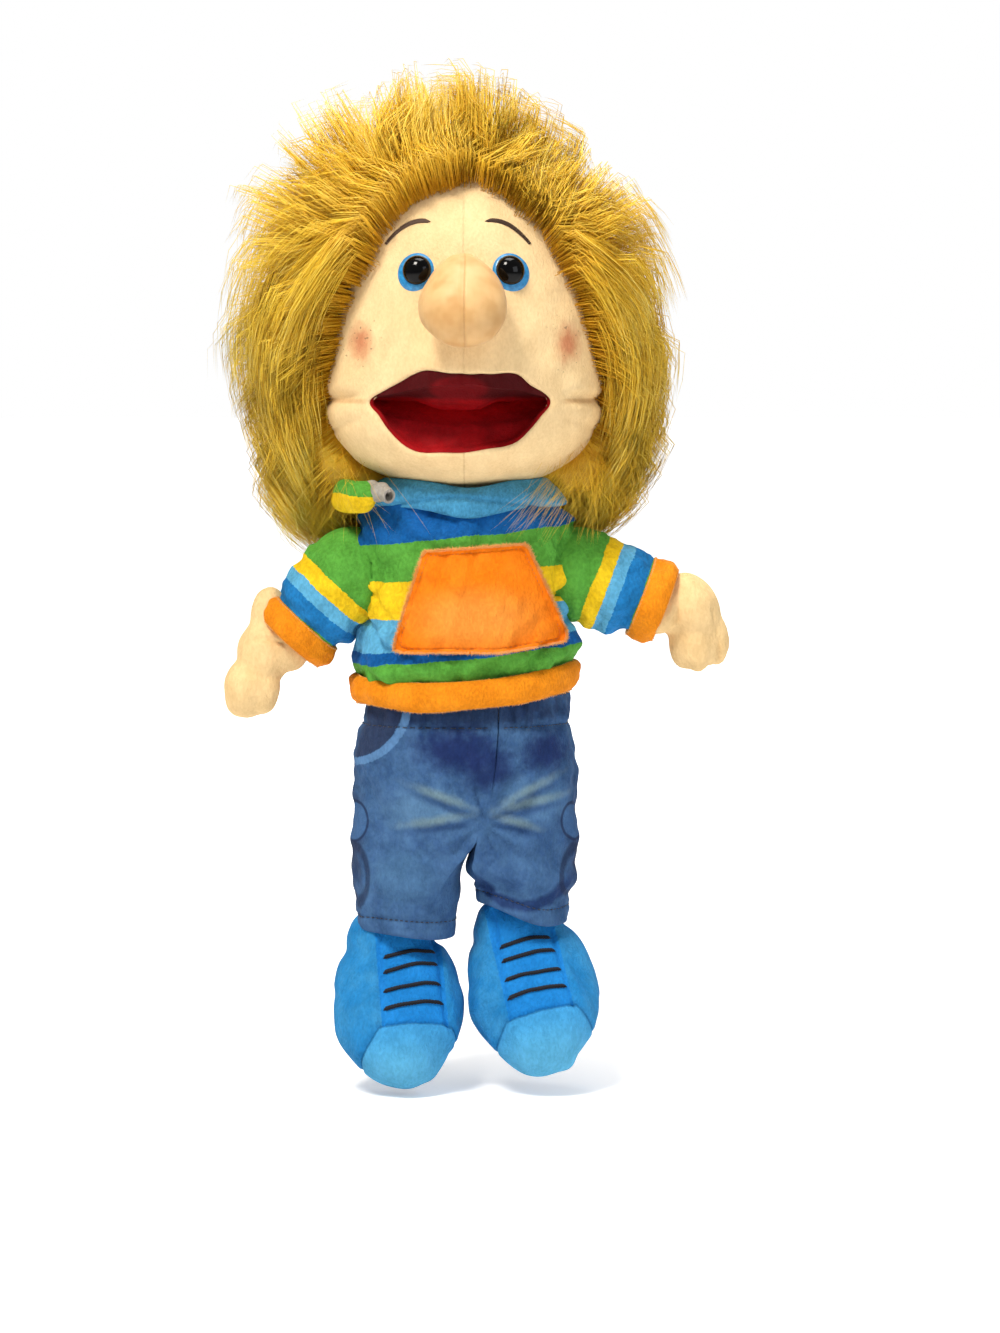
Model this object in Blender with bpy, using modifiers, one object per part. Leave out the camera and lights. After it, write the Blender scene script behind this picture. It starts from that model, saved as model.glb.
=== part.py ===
"""Plush moving-mouth hand puppet: a mop-haired boy in a striped hoodie, jeans and plush shoes.

Metres, +Z up. The front faces -Y and the puppet's own left is +X. The origin is the middle of the
hand entry, the gap between the trouser back and the loose back hem of the jumper. Every piece hangs
from the empty "puppet_axis", the upright line through body and head, and in its coordinates the
waist is z = 0. A moving group hangs from an empty that stands on its joint's axis.
"""

import math

import bmesh
import bpy
from mathutils import Matrix, Vector

# Fits
GAP = 0.0004  # between two sewn or resting pieces
SWING_GAP = 0.0010  # between pieces that turn past each other
SKIN_WALL = 0.0016  # velour with its backing
FOAM_WALL = 0.0070  # head liner
CLOTH_WALL = 0.0024  # plush garment fabric
BOARD = 0.0020  # stiff mouth plates
LINING = 0.0012  # red velour
ROUND_STEPS = 28  # facets round a large piece
SMALL_STEPS = 14  # facets round a small piece

# The upright axis stands in front of the hand entry
ENTRY_BEHIND_AXIS = 0.0375

# Head, upper part
HEAD_HALF_WIDTH = 0.0620
HEAD_HALF_DEPTH = 0.0520
HEAD_Y = -0.0020
CROWN_Z = 0.2370
CHEEK_Z = 0.1400  # level of the widest section
HEAD_BOTTOM_Z = 0.1060
HEAD_POWER = 2.3  # roundness of the dome, 2 being an ellipse
NAPE_RADIUS = 0.0720  # how fast the head narrows below the cheeks

# Mouth
HINGE_Y = -0.0100
HINGE_Z = 0.1345
PALATE_RISE = math.radians(12)  # slope of the upper plate at rest
JAW_DROP = math.radians(28)  # slope of the lower plate at rest
MOUTH_HALF_WIDTH = 0.0470
MOUTH_DEPTH = 0.0345
JAW_HALF_WIDTH = 0.0610
JAW_HALF_HEIGHT = 0.0400
JAW_REAR_Y = -0.0120
THROAT_CLEARANCE = 0.0120  # free space behind the hinge for the opening jaw
STRAP_WALL = 0.0014
FINGER_STRAP_RADII = (0.034, 0.020)
FINGER_STRAP_WIDTH = 0.018
THUMB_STRAP_RADII = (0.020, 0.0075)
THUMB_STRAP_WIDTH = 0.014
CHIN_WALL = 0.0032  # foam left round the thumb cavity

# Face
EYE_X = 0.0204
EYE_Z = 0.1905
PUPIL_RADIUS = 0.0062
PUPIL_HEIGHT = 0.0048
IRIS_RADIUS = 0.0082
IRIS_WALL = 0.0010
STEM_RADIUS = 0.0018
WASHER_RADIUS = 0.0065
WASHER_WALL = 0.0016
NOSE_RADII = (0.0177, 0.0220, 0.0198)
NOSE_Z = 0.1767
NOSE_SUNK = 0.0100  # how far the nose's middle lies outside the face
BROW_INNER_X = 0.0135
BROW_SPAN = 0.0185
BROW_Z = 0.2100
BROW_DROP = 0.0075
BROW_RADIUS = 0.0008

# Wig
WIG_HALF_WIDTH = 0.0980
WIG_HALF_DEPTH = 0.0720
WIG_Y = 0.0160
WIG_TOP_Z = 0.2800
WIG_WIDEST_Z = 0.1700
WIG_BOTTOM_Z = 0.1010
WIG_BOTTOM_HALF_WIDTH = 0.0900
FACE_TOP_Z = 0.2250
FACE_TOP_HALF_WIDTH = 0.0330
FACE_EYE_HALF_WIDTH = 0.0480
FACE_JAW_HALF_WIDTH = 0.0645
FACE_PLANE_Y = -0.0080  # the wig's face opening is cut back to here
JAW_ROOM_Y = 0.0220  # and the room for the jaw to here

# Neck
NECK_Y = 0.0090
NECK_PIVOT_Z = 0.1000
NECK_RADII = (0.0270, 0.0145)
NECK_SPAN = (0.0700, 0.1120)

# Jumper: (height, half width, front, back), the fronts being negative
JUMPER = (
    (0.0180, 0.0506, -0.0350, 0.0480),
    (0.0400, 0.0490, -0.0340, 0.0440),
    (0.0600, 0.0495, -0.0320, 0.0390),
    (0.0740, 0.0490, -0.0305, 0.0350),
    (0.0830, 0.0455, -0.0280, 0.0340),
)
HEM_DROP = 0.0200
HEM_WALL = 0.0020
HEM_PROUD = 0.0012
COLLAR_HEIGHT = 0.0070
COLLAR_WALL = 0.0030
COLLAR_LEAN = 0.0015
COLLAR_SLOPE = 0.10  # the collar stands higher at the back
POCKET_TOP_HALF_WIDTH = 0.0220
POCKET_HALF_WIDTH = 0.0370
POCKET_SPAN = (0.0240, 0.0710)
POCKET_SHOULDER_Z = 0.0330
POCKET_WALL = 0.0020
HOOD_RADII = (0.0380, 0.0085, 0.0240)
HOOD_Z = 0.0580
HOOD_RIM_RADIUS = 0.0060
HOOD_RIM_HALF_WIDTH = 0.0525
HOOD_RIM_REACH = (-0.0100, 0.0430)
HOOD_RIM_Z = 0.0880

# Body sleeve, the fabric tube that the arm goes through
BODY = (
    (-0.0060, 0.0385, -0.0245, 0.0180),
    (0.0300, 0.0380, -0.0270, 0.0240),
    (0.0400, 0.0285, -0.0260, 0.0260),
    (0.0660, 0.0285, -0.0220, 0.0280),
)
BODY_WALL = 0.0016
BODY_BACK_OPENING_Y = 0.0080
BODY_BACK_OPENING_TOP = 0.0440

# Trousers
WAIST_HALF_WIDTH = 0.0455
WAIST_FRONT, WAIST_BACK = -0.0315, 0.0235
WAISTBAND_SPAN = (-0.0080, 0.0060)
WAISTBAND_WALL = 0.0036
ELASTIC_WALL = 0.0012
ELASTIC_HALF_HEIGHT = 0.0045
SEAT_BOTTOM_Z = -0.0255
SEAT_BULGE = 0.0015
HIP_Z = -0.0500
HIP_X = 0.0243
HIP_Y = -0.0030
THIGH_RADIUS = 0.0233
HEM_RADIUS = 0.0225
TROUSER_HEM_Z = -0.1000
LEG_RADIUS = 0.0165

# Shoes, in the foot's own frame: -Y to the toe, +Z through the laces
ANKLE_Z = TROUSER_HEM_Z - 0.0040
ANKLE_X = 0.0300
ANKLE_Y = 0.0010
ANKLE_RADIUS = 0.0130
LEG_BOTTOM_Z = ANKLE_Z + ANKLE_RADIUS + 0.0030  # the stuffed leg ends above the ankle
FOOT_TILT = math.radians(55)
SHOE_RADII = (0.0290, 0.0360, 0.0200)
SHOE_FORWARD = 0.0345
SHOE_DROP = 0.0090
SOLE_TOP = -0.0110
SOLE_BOTTOM = -0.0165
TOE_CAP_Y = -0.0120
LACES_PER_SHOE = 4
LACE_FIRST_Y = -0.0060
LACE_PITCH = 0.0078
LACE_HALF_WIDTH = 0.0140
LACE_RADIUS = 0.0009
TOE_OUT = {"left": math.radians(9), "right": math.radians(-4)}

# Arms: drop below the horizontal at rest, bend of the hand, and which way the thumb points
SHOULDER_Z = 0.0580
SLEEVE_ROOT_RADIUS = 0.0200
SHOULDER_X = BODY[-1][1] + SLEEVE_ROOT_RADIUS + 0.0015  # the sleeve root just clears the body sleeve
SLEEVE_END_RADIUS = 0.0180
SLEEVE_LENGTH = 0.0280
SLEEVE_MOUTH_RADIUS = 0.0115
CUFF_LENGTH = 0.0120
CUFF_RADIUS = 0.0182
TAB_RADII = (0.0075, 0.0030, 0.0075)
ARM_RADIUS = 0.0118
ARM_START = 0.0105
PALM_RADII = (0.0150, 0.0120, 0.0160)
FINGER_RADII = (0.0155, 0.0125, 0.0185)
THUMB_RADII = (0.0095, 0.0095, 0.0140)
THUMB_ASIDE = 0.0130
WRIST_AT = 0.0460
ARMHOLE_DROP = 0.0070  # how much further the armhole reaches below the shoulder than above
ARM_POSE = {
    "left": {
        "drop": math.radians(21),
        "hand_bend": math.radians(34),
        "thumb": 1,
        "thumb_spread": math.radians(20),
        "thumb_reach": 0.0180,
    },
    "right": {
        "drop": math.radians(48),
        "hand_bend": math.radians(-4),
        "thumb": -1,
        "thumb_spread": math.radians(48),
        "thumb_reach": 0.0135,
    },
}
SIDES = {"left": 1, "right": -1}

COLOURS = {
    "skin": ((0.90, 0.72, 0.47), 0.95),
    "nose_skin": ((0.84, 0.62, 0.36), 0.85),
    "foam": ((0.93, 0.90, 0.78), 0.95),
    "board": ((0.55, 0.50, 0.42), 0.80),
    "mouth_red": ((0.40, 0.005, 0.008), 0.90),
    "strap": ((0.88, 0.80, 0.66), 0.90),
    "fur": ((0.70, 0.47, 0.08), 0.90),
    "pupil": ((0.005, 0.005, 0.005), 0.10),
    "iris_blue": ((0.03, 0.30, 0.55), 0.40),
    "washer": ((0.85, 0.85, 0.85), 0.50),
    "brow_thread": ((0.10, 0.06, 0.04), 0.80),
    "stripe_blue": ((0.02, 0.22, 0.50), 0.90),
    "stripe_green": ((0.15, 0.42, 0.06), 0.90),
    "orange": ((0.95, 0.27, 0.01), 0.90),
    "sky": ((0.10, 0.42, 0.65), 0.90),
    "cotton": ((0.85, 0.83, 0.78), 0.90),
    "elastic": ((0.80, 0.80, 0.80), 0.80),
    "denim": ((0.04, 0.11, 0.25), 0.90),
    "shoe_blue": ((0.03, 0.34, 0.70), 0.90),
    "lace_thread": ((0.01, 0.01, 0.02), 0.80),
}


def clear_scene():
    """Empty the scene and make the collections for the puppet and for its cutters."""
    for old in list(bpy.data.objects):
        bpy.data.objects.remove(old, do_unlink=True)
    made = []
    for name in ("moving_mouth_puppet", "cutters"):
        collection = bpy.data.collections.new(name)
        bpy.context.scene.collection.children.link(collection)
        made.append(collection)
    return made


def make_material(name):
    """A Principled material in the named colour."""
    colour, roughness = COLOURS[name]
    material = bpy.data.materials.new(name)
    material.use_nodes = True
    shader = material.node_tree.nodes["Principled BSDF"]
    shader.inputs["Base Color"].default_value = (*colour, 1.0)
    shader.inputs["Roughness"].default_value = roughness
    shader.inputs["Metallic"].default_value = 0.0
    return material


PUPPET, CUTTERS = clear_scene()
MATERIALS = {name: make_material(name) for name in COLOURS}


# ---------------------------------------------------------------- building blocks
def add_empty(name, location, rotation=(0, 0, 0), parent=None):
    """A pivot or frame that pieces hang from."""
    empty = bpy.data.objects.new(name, None)
    empty.empty_display_size = 0.01
    empty.location = location
    empty.rotation_euler = rotation
    empty.parent = parent
    PUPPET.objects.link(empty)
    return empty


AXIS = add_empty("puppet_axis", (0, -ENTRY_BEHIND_AXIS, 0))


def add_object(name, data, material, parent=AXIS, location=(0, 0, 0), rotation=(0, 0, 0)):
    """Put a mesh or curve in the puppet's collection, or a cutter's if it has no material."""
    obj = bpy.data.objects.new(name, data)
    obj.parent = parent
    obj.location = location
    obj.rotation_euler = rotation
    if material:
        data.materials.append(MATERIALS[material])
        PUPPET.objects.link(obj)
    else:
        CUTTERS.objects.link(obj)
        obj.hide_render = True
        obj.display_type = "WIRE"
    return obj


def finish_mesh(mesh, angle=40):
    """Smooth shading with sharp edges past the angle."""
    mesh.shade_smooth()
    mesh.set_sharp_from_angle(angle=math.radians(angle))
    return mesh


def turned(name, chain, material, closed=True, steps=ROUND_STEPS, depth_ratio=1.0, **place):
    """A profile of (radius, height) points turned about Z. It runs down the outer side first."""
    shape = bmesh.new()
    points = [shape.verts.new((radius, 0, height)) for radius, height in chain]
    for first, second in zip(points, points[1:]):
        shape.edges.new((first, second))
    if closed:
        shape.edges.new((points[-1], points[0]))
    mesh = bpy.data.meshes.new(name)
    shape.to_mesh(mesh)
    shape.free()
    obj = add_object(name, mesh, material, **place)
    obj.scale = (1, depth_ratio, 1)
    screw = obj.modifiers.new("turn", "SCREW")
    screw.axis = "Z"
    screw.angle = math.tau
    screw.steps = screw.render_steps = steps
    screw.use_merge_vertices = True
    screw.merge_threshold = 0.00001
    return obj


def ellipsoid(name, radii, material, centre=(0, 0, 0), segments=24, rings=14, **place):
    """A UV sphere with its radii and centre in its mesh."""
    shape = bmesh.new()
    bmesh.ops.create_uvsphere(shape, u_segments=segments, v_segments=rings, radius=1)
    bmesh.ops.scale(shape, vec=radii, verts=shape.verts)
    bmesh.ops.translate(shape, vec=centre, verts=shape.verts)
    mesh = bpy.data.meshes.new(name)
    shape.to_mesh(mesh)
    shape.free()
    return add_object(name, finish_mesh(mesh), material, **place)


def sliced(obj, point, outward):
    """Take away what lies beyond a plane through a solid convex mesh, and cap the cut."""
    shape = bmesh.new()
    shape.from_mesh(obj.data)
    everything = shape.verts[:] + shape.edges[:] + shape.faces[:]
    cut = bmesh.ops.bisect_plane(
        shape, geom=everything, plane_co=point, plane_no=outward, clear_outer=True
    )
    rim = [item for item in cut["geom_cut"] if isinstance(item, bmesh.types.BMEdge)]
    bmesh.ops.edgenet_fill(shape, edges=rim)
    bmesh.ops.recalc_face_normals(shape, faces=shape.faces)
    shape.to_mesh(obj.data)
    shape.free()
    finish_mesh(obj.data)
    return obj


def prism(name, outline, half_depth, material, rotation=(0, 0, 0), location=(0, 0, 0), parent=AXIS):
    """A flat outline of (x, y) points, made half_depth thick each way along its local Z."""
    curve = bpy.data.curves.new(name, "CURVE")
    curve.dimensions = "2D"
    curve.fill_mode = "BOTH"
    curve.extrude = half_depth
    line = curve.splines.new("POLY")
    line.points.add(len(outline) - 1)
    for point, (x, y) in zip(line.points, outline):
        point.co = (x, y, 0, 1)
    line.use_cyclic_u = True
    place = {"parent": parent, "location": location, "rotation": rotation}
    return meshed(add_object(name, curve, material, **place))


def rod(name, points, radius, material, parent=AXIS, bevel_resolution=2, **place):
    """A round bar along a line of points, with filled ends."""
    curve = bpy.data.curves.new(name, "CURVE")
    curve.dimensions = "3D"
    curve.bevel_depth = radius
    curve.bevel_resolution = bevel_resolution
    curve.use_fill_caps = True
    line = curve.splines.new("POLY")
    line.points.add(len(points) - 1)
    for point, place_at in zip(line.points, points):
        point.co = (*place_at, 1)
    return meshed(add_object(name, curve, material, parent=parent, **place))


def meshed(obj):
    """A curve object made a closed mesh object of the same name, place and material."""
    bpy.context.view_layer.update()
    graph = bpy.context.evaluated_depsgraph_get()
    mesh = bpy.data.meshes.new_from_object(obj.evaluated_get(graph))
    shape = bmesh.new()
    shape.from_mesh(mesh)
    bmesh.ops.remove_doubles(shape, verts=shape.verts, dist=0.00001)
    bmesh.ops.recalc_face_normals(shape, faces=shape.faces)
    shape.to_mesh(mesh)
    shape.free()
    name = obj.name
    parent, location, rotation = obj.parent, obj.location.copy(), obj.rotation_euler.copy()
    material = mesh.materials[0].name if mesh.materials else None
    mesh.materials.clear()
    bpy.data.objects.remove(obj, do_unlink=True)
    return add_object(name, finish_mesh(mesh), material, parent, location, rotation)


def ring_points(section, inset, steps, slope):
    """Points of an oval section (height, half width, front, back), taken in by inset."""
    height, half_width, front, back = section
    middle, half_depth = (front + back) / 2, (back - front) / 2
    found = []
    for step in range(steps):
        angle = math.tau * step / steps
        x = (half_width - inset) * math.cos(angle)
        y = middle + (half_depth - inset) * math.sin(angle)
        found.append((x, y, height + slope * y))
    return found


def lofted(name, sections, wall, material, floor=0.0, slope=0.0, steps=ROUND_STEPS, **place):
    """An upright fabric tube through oval sections, lowest first, with a floor if it has one."""
    shape = bmesh.new()
    inner_sections = list(sections)
    if floor:
        lowest = sections[0]
        inner_sections[0] = (lowest[0] + floor, *lowest[1:])
    outer = [
        [shape.verts.new(p) for p in ring_points(s, 0, steps, slope)] for s in sections
    ]
    inner = [
        [shape.verts.new(p) for p in ring_points(s, wall, steps, slope)] for s in inner_sections
    ]
    loops = outer + inner[::-1]
    if not floor:
        loops.append(outer[0])
    for lower, upper in zip(loops, loops[1:]):
        for step in range(steps):
            after = (step + 1) % steps
            shape.faces.new((lower[step], lower[after], upper[after], upper[step]))
    if floor:
        shape.faces.new(outer[0][::-1])
        shape.faces.new(inner[0])
    bmesh.ops.recalc_face_normals(shape, faces=shape.faces)
    mesh = bpy.data.meshes.new(name)
    shape.to_mesh(mesh)
    shape.free()
    return add_object(name, finish_mesh(mesh), material, **place)


def combine(obj, other, operation="DIFFERENCE"):
    """Cut, keep or join with another mesh object."""
    change = obj.modifiers.new(operation.lower() + "_" + other.name, "BOOLEAN")
    change.operation = operation
    change.object = other
    return obj


def taken_in(section, inset, height=None):
    """A section drawn in by inset all round, and moved to another height if one is given."""
    level, half_width, front, back = section
    return (level if height is None else height, half_width - inset, front + inset, back - inset)


# ---------------------------------------------------------------- head
def head_section(height, inset=0.0):
    """Half width of the head at a height, measured inset below its surface."""
    if height >= CHEEK_Z:
        share = (height - CHEEK_Z) / (CROWN_Z - inset - CHEEK_Z)
        return (HEAD_HALF_WIDTH - inset) * max(0.0, 1 - share**HEAD_POWER) ** (1 / HEAD_POWER)
    share = (CHEEK_Z - height) / NAPE_RADIUS
    return (HEAD_HALF_WIDTH - inset) * math.sqrt(1 - share * share)


def head_chain(inset, bottom, dome_steps=9, nape_steps=3):
    """The head's profile from crown to bottom, inset below its surface."""
    chain = []
    for step in range(dome_steps + 1):
        turn = math.pi / 2 * (1 - step / dome_steps)
        power = 2 / HEAD_POWER
        height = CHEEK_Z + (CROWN_Z - inset - CHEEK_Z) * math.sin(turn) ** power
        radius = (HEAD_HALF_WIDTH - inset) * max(0.0, math.cos(turn)) ** power
        chain.append((0.0 if step == 0 else radius, height))
    for step in range(1, nape_steps + 1):
        height = CHEEK_Z + (bottom - CHEEK_Z) * step / nape_steps
        chain.append((head_section(height, inset), height))
    return chain


HEAD_RATIO = HEAD_HALF_DEPTH / HEAD_HALF_WIDTH


def face_point(x, height, lift=0.0):
    """The point of the face surface at x and height, lifted off it along its normal."""
    half_width = head_section(height)
    depth = HEAD_RATIO * math.sqrt(half_width**2 - x**2)
    point = Vector((x, HEAD_Y - depth, height))
    return point + lift * face_normal(x, height)


def face_normal(x, height):
    """The outward direction of the face surface at x and height."""
    half_width = head_section(height)
    step = 0.0005
    slope = (head_section(height + step) - head_section(height - step)) / (2 * step)
    across = math.sqrt(half_width**2 - x**2)
    return Vector((x, -across / HEAD_RATIO, -half_width * slope)).normalized()


def head_form(name, outer, inner, bottom, material, **place):
    """A head-shaped shell between two insets, or a solid form if inner is None."""
    chain = head_chain(outer, bottom)
    if inner is None:
        chain.append((0.0, bottom))
    else:
        chain += head_chain(inner, bottom)[::-1]
    place = {"location": (0, HEAD_Y, 0), **place}
    return turned(name, chain, material, closed=False, depth_ratio=HEAD_RATIO, **place)


def side_prism(name, outline, half_width, centre_x=0.0):
    """A cutter with its outline in (y, z) and its length along X."""
    turn = (math.pi / 2, 0, math.pi / 2)
    return prism(name, outline, half_width, None, rotation=turn, location=(centre_x, 0, 0))


def mouth_plate(name, depth_share, low, high, material, parent):
    """A half-oval plate that fans out forwards from the hinge, between two levels."""
    arc_steps = 12
    outline = [
        (
            MOUTH_HALF_WIDTH * depth_share * math.cos(math.pi * step / arc_steps),
            -MOUTH_DEPTH * depth_share * math.sin(math.pi * step / arc_steps),
        )
        for step in range(arc_steps + 1)
    ]
    place = {"parent": parent, "location": (0, 0, (low + high) / 2)}
    return prism(name, outline, (high - low) / 2, material, **place)


def arch(name, radii, wall, half_depth, material, parent, location, upwards=1):
    """A strap that spans a plate as a half-oval loop, its length along Y."""
    arc_steps = 10
    outline = []
    for across, rise, backwards in ((radii[0], radii[1], 1), (radii[0] - wall, radii[1] - wall, -1)):
        for step in range(arc_steps + 1)[::backwards]:
            turn = math.pi * step / arc_steps
            outline.append((across * math.cos(turn), upwards * rise * math.sin(turn)))
    place = {"parent": parent, "location": location, "rotation": (math.pi / 2, 0, 0)}
    return prism(name, outline, half_depth, material, **place)


def build_head():
    """Skin, liner, mouth roof, straps, nose, eyes and brows, all on the head."""
    pivot = add_empty("neck_pivot", (0, NECK_Y, NECK_PIVOT_Z), parent=AXIS)
    hinge = add_empty("jaw_hinge", (0, HINGE_Y, HINGE_Z), parent=AXIS)
    front, low = -0.12, 0.04
    rear = HINGE_Y + THROAT_CLEARANCE
    wedge = side_prism(
        "mouth_wedge",
        (
            (HINGE_Y, HINGE_Z),
            (front, HINGE_Z + (HINGE_Y - front) * math.tan(PALATE_RISE)),
            (front, low),
            (rear, low),
            (rear, HINGE_Z),
        ),
        0.1,
    )
    for side, sign in SIDES.items():
        skin = head_form(f"face_panel_{side}", 0.0, SKIN_WALL, HEAD_BOTTOM_Z, "skin")
        half = side_prism(
            f"half_space_{side}",
            ((-0.1, 0.05), (0.1, 0.05), (0.1, 0.3), (-0.1, 0.3)),
            0.05,
            centre_x=sign * (GAP / 2 - 0.05) if sign > 0 else 0.05 - GAP / 2,
        )
        combine(combine(skin, wedge), half)
        drill_for_eyes(skin)
    liner_outer = SKIN_WALL + GAP
    liner = head_form("head_foam", liner_outer, liner_outer + FOAM_WALL, HEAD_BOTTOM_Z, "foam")
    combine(liner, wedge)
    drill_for_eyes(liner)
    build_mouth_roof(hinge)
    build_nose()
    for side, sign in SIDES.items():
        build_eye(side, sign)
        build_brow(side, sign)
    return pivot, hinge


def build_mouth_roof(hinge):
    """Red lining, stiff plate and finger strap, in the plane of the upper mouth."""
    palate = add_empty("palate_plane", (0, 0, 0), rotation=(-PALATE_RISE, 0, 0), parent=hinge)
    level = GAP
    mouth_plate("palate_lining", 1.0, level, level + LINING, "mouth_red", palate)
    level += LINING + GAP
    mouth_plate("palate_board", 0.96, level, level + BOARD, "board", palate)
    level += BOARD + GAP
    where = (0, -MOUTH_DEPTH * 0.42, level)
    arch(
        "finger_strap", FINGER_STRAP_RADII, STRAP_WALL, FINGER_STRAP_WIDTH / 2, "strap", palate, where
    )


def eye_frame(sign):
    """Place and turn of an eye: its local Z leaves the face at the eye's middle."""
    point = face_point(sign * EYE_X, EYE_Z)
    normal = face_normal(sign * EYE_X, EYE_Z)
    return point, normal.to_track_quat("Z", "Y").to_euler()


def drill_for_eyes(obj):
    """Stem holes through a layer of the head."""
    for side, sign in SIDES.items():
        drill = bpy.data.objects.get(f"stem_drill_{side}")
        if drill is None:
            point, turn = eye_frame(sign)
            radius = STEM_RADIUS + GAP
            chain = ((0, 0.01), (radius, 0.01), (radius, -0.02), (0, -0.02))
            place = {"location": point, "rotation": turn}
            drill = turned(f"stem_drill_{side}", chain, None, False, SMALL_STEPS, **place)
        combine(obj, drill)


def build_eye(side, sign):
    """Domed safety eye on a blue disc, with its lock washer inside the head."""
    point, turn = eye_frame(sign)
    frame = add_empty(f"eye_frame_{side}", point, rotation=turn, parent=AXIS)
    bore = STEM_RADIUS + GAP
    ring = (
        (bore, GAP + IRIS_WALL),
        (IRIS_RADIUS, GAP + IRIS_WALL),
        (IRIS_RADIUS, GAP),
        (bore, GAP),
    )
    turned(f"iris_{side}", ring, "iris_blue", steps=SMALL_STEPS * 2, parent=frame)
    base = 2 * GAP + IRIS_WALL
    dome_steps = 5
    dome = [
        (
            PUPIL_RADIUS * math.sin(math.pi / 2 * step / dome_steps),
            base + PUPIL_HEIGHT * math.cos(math.pi / 2 * step / dome_steps),
        )
        for step in range(dome_steps + 1)
    ]
    washer_top = -(SKIN_WALL + GAP + FOAM_WALL + 3 * GAP)
    stem_end = washer_top - WASHER_WALL - 0.002
    dome += [(STEM_RADIUS, base), (STEM_RADIUS, stem_end), (0, stem_end)]
    turned(f"eye_{side}", dome, "pupil", closed=False, steps=SMALL_STEPS, parent=frame)
    washer = (
        (bore, washer_top),
        (WASHER_RADIUS, washer_top),
        (WASHER_RADIUS, washer_top - WASHER_WALL),
        (bore, washer_top - WASHER_WALL),
    )
    turned(f"eye_washer_{side}", washer, "washer", steps=SMALL_STEPS, parent=frame)


def build_nose():
    """Stuffed egg nose, sewn on where the face surface crosses it."""
    middle = face_point(0, NOSE_Z, NOSE_SUNK)
    nose = ellipsoid("nose", NOSE_RADII, "nose_skin", segments=18, rings=12, location=middle)
    face = head_form("face_surface", -GAP, None, CHEEK_Z - 0.02, None)
    combine(nose, face)


def build_brow(side, sign):
    """Embroidered eyebrow, an arc of thread on the face."""
    steps = 7
    line = []
    for step in range(steps + 1):
        share = step / steps
        x = sign * (BROW_INNER_X + BROW_SPAN * share)
        height = BROW_Z + 0.003 * math.sin(math.pi * share) - BROW_DROP * share**2
        line.append(face_point(x, height, BROW_RADIUS + GAP))
    rod(f"brow_{side}", line, BROW_RADIUS, "brow_thread", bevel_resolution=1)


def build_wig():
    """Long-pile fur cap: one thick soft solid, open over the face and under the jaw."""
    chain = []
    dome_steps, skirt_steps = 8, 3
    for step in range(dome_steps + 1):
        turn = math.pi / 2 * (1 - step / dome_steps)
        height = WIG_WIDEST_Z + (WIG_TOP_Z - WIG_WIDEST_Z) * math.sin(turn) ** 0.9
        radius = WIG_HALF_WIDTH * max(0.0, math.cos(turn)) ** 0.9
        chain.append((0.0 if step == 0 else radius, height))
    for step in range(1, skirt_steps + 1):
        share = step / skirt_steps
        height = WIG_WIDEST_Z + (WIG_BOTTOM_Z - WIG_WIDEST_Z) * share
        radius = WIG_HALF_WIDTH + (WIG_BOTTOM_HALF_WIDTH - WIG_HALF_WIDTH) * share**2
        chain.append((radius, height))
    chain.append((0.0, WIG_BOTTOM_Z))
    ratio = WIG_HALF_DEPTH / WIG_HALF_WIDTH
    place = {"location": (0, WIG_Y, 0)}
    wig = turned("wig", chain, "fur", False, ROUND_STEPS, ratio, **place)
    below = WIG_BOTTOM_Z - 0.02
    cavity_chain = [point for point in head_chain(-GAP * 2, CHEEK_Z)]
    widest = cavity_chain[-1][0]
    cavity_chain += [(widest, below), (0.0, below)]
    cavity = turned(
        "head_cavity",
        cavity_chain,
        None,
        False,
        ROUND_STEPS,
        HEAD_RATIO,
        location=(0, HEAD_Y, 0),
    )
    outline = [(-FACE_JAW_HALF_WIDTH, below), (FACE_JAW_HALF_WIDTH, below)]
    outline += [
        (FACE_JAW_HALF_WIDTH, HINGE_Z),
        (FACE_EYE_HALF_WIDTH, EYE_Z),
        (FACE_TOP_HALF_WIDTH, FACE_TOP_Z - 0.012),
        (FACE_TOP_HALF_WIDTH * 0.5, FACE_TOP_Z),
    ]
    outline += [(-x, height) for x, height in outline[:1:-1]]
    reach = 0.1
    opening = prism(
        "face_opening",
        outline,
        reach / 2,
        None,
        rotation=(math.pi / 2, 0, 0),
        location=(0, FACE_PLANE_Y - reach / 2, 0),
    )
    jaw_room = side_prism(
        "jaw_room",
        ((-0.1, below), (JAW_ROOM_Y, below), (JAW_ROOM_Y, HINGE_Z), (-0.1, HINGE_Z)),
        FACE_JAW_HALF_WIDTH,
    )
    for cutter in (cavity, opening, jaw_room):
        combine(wig, cutter)


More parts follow.
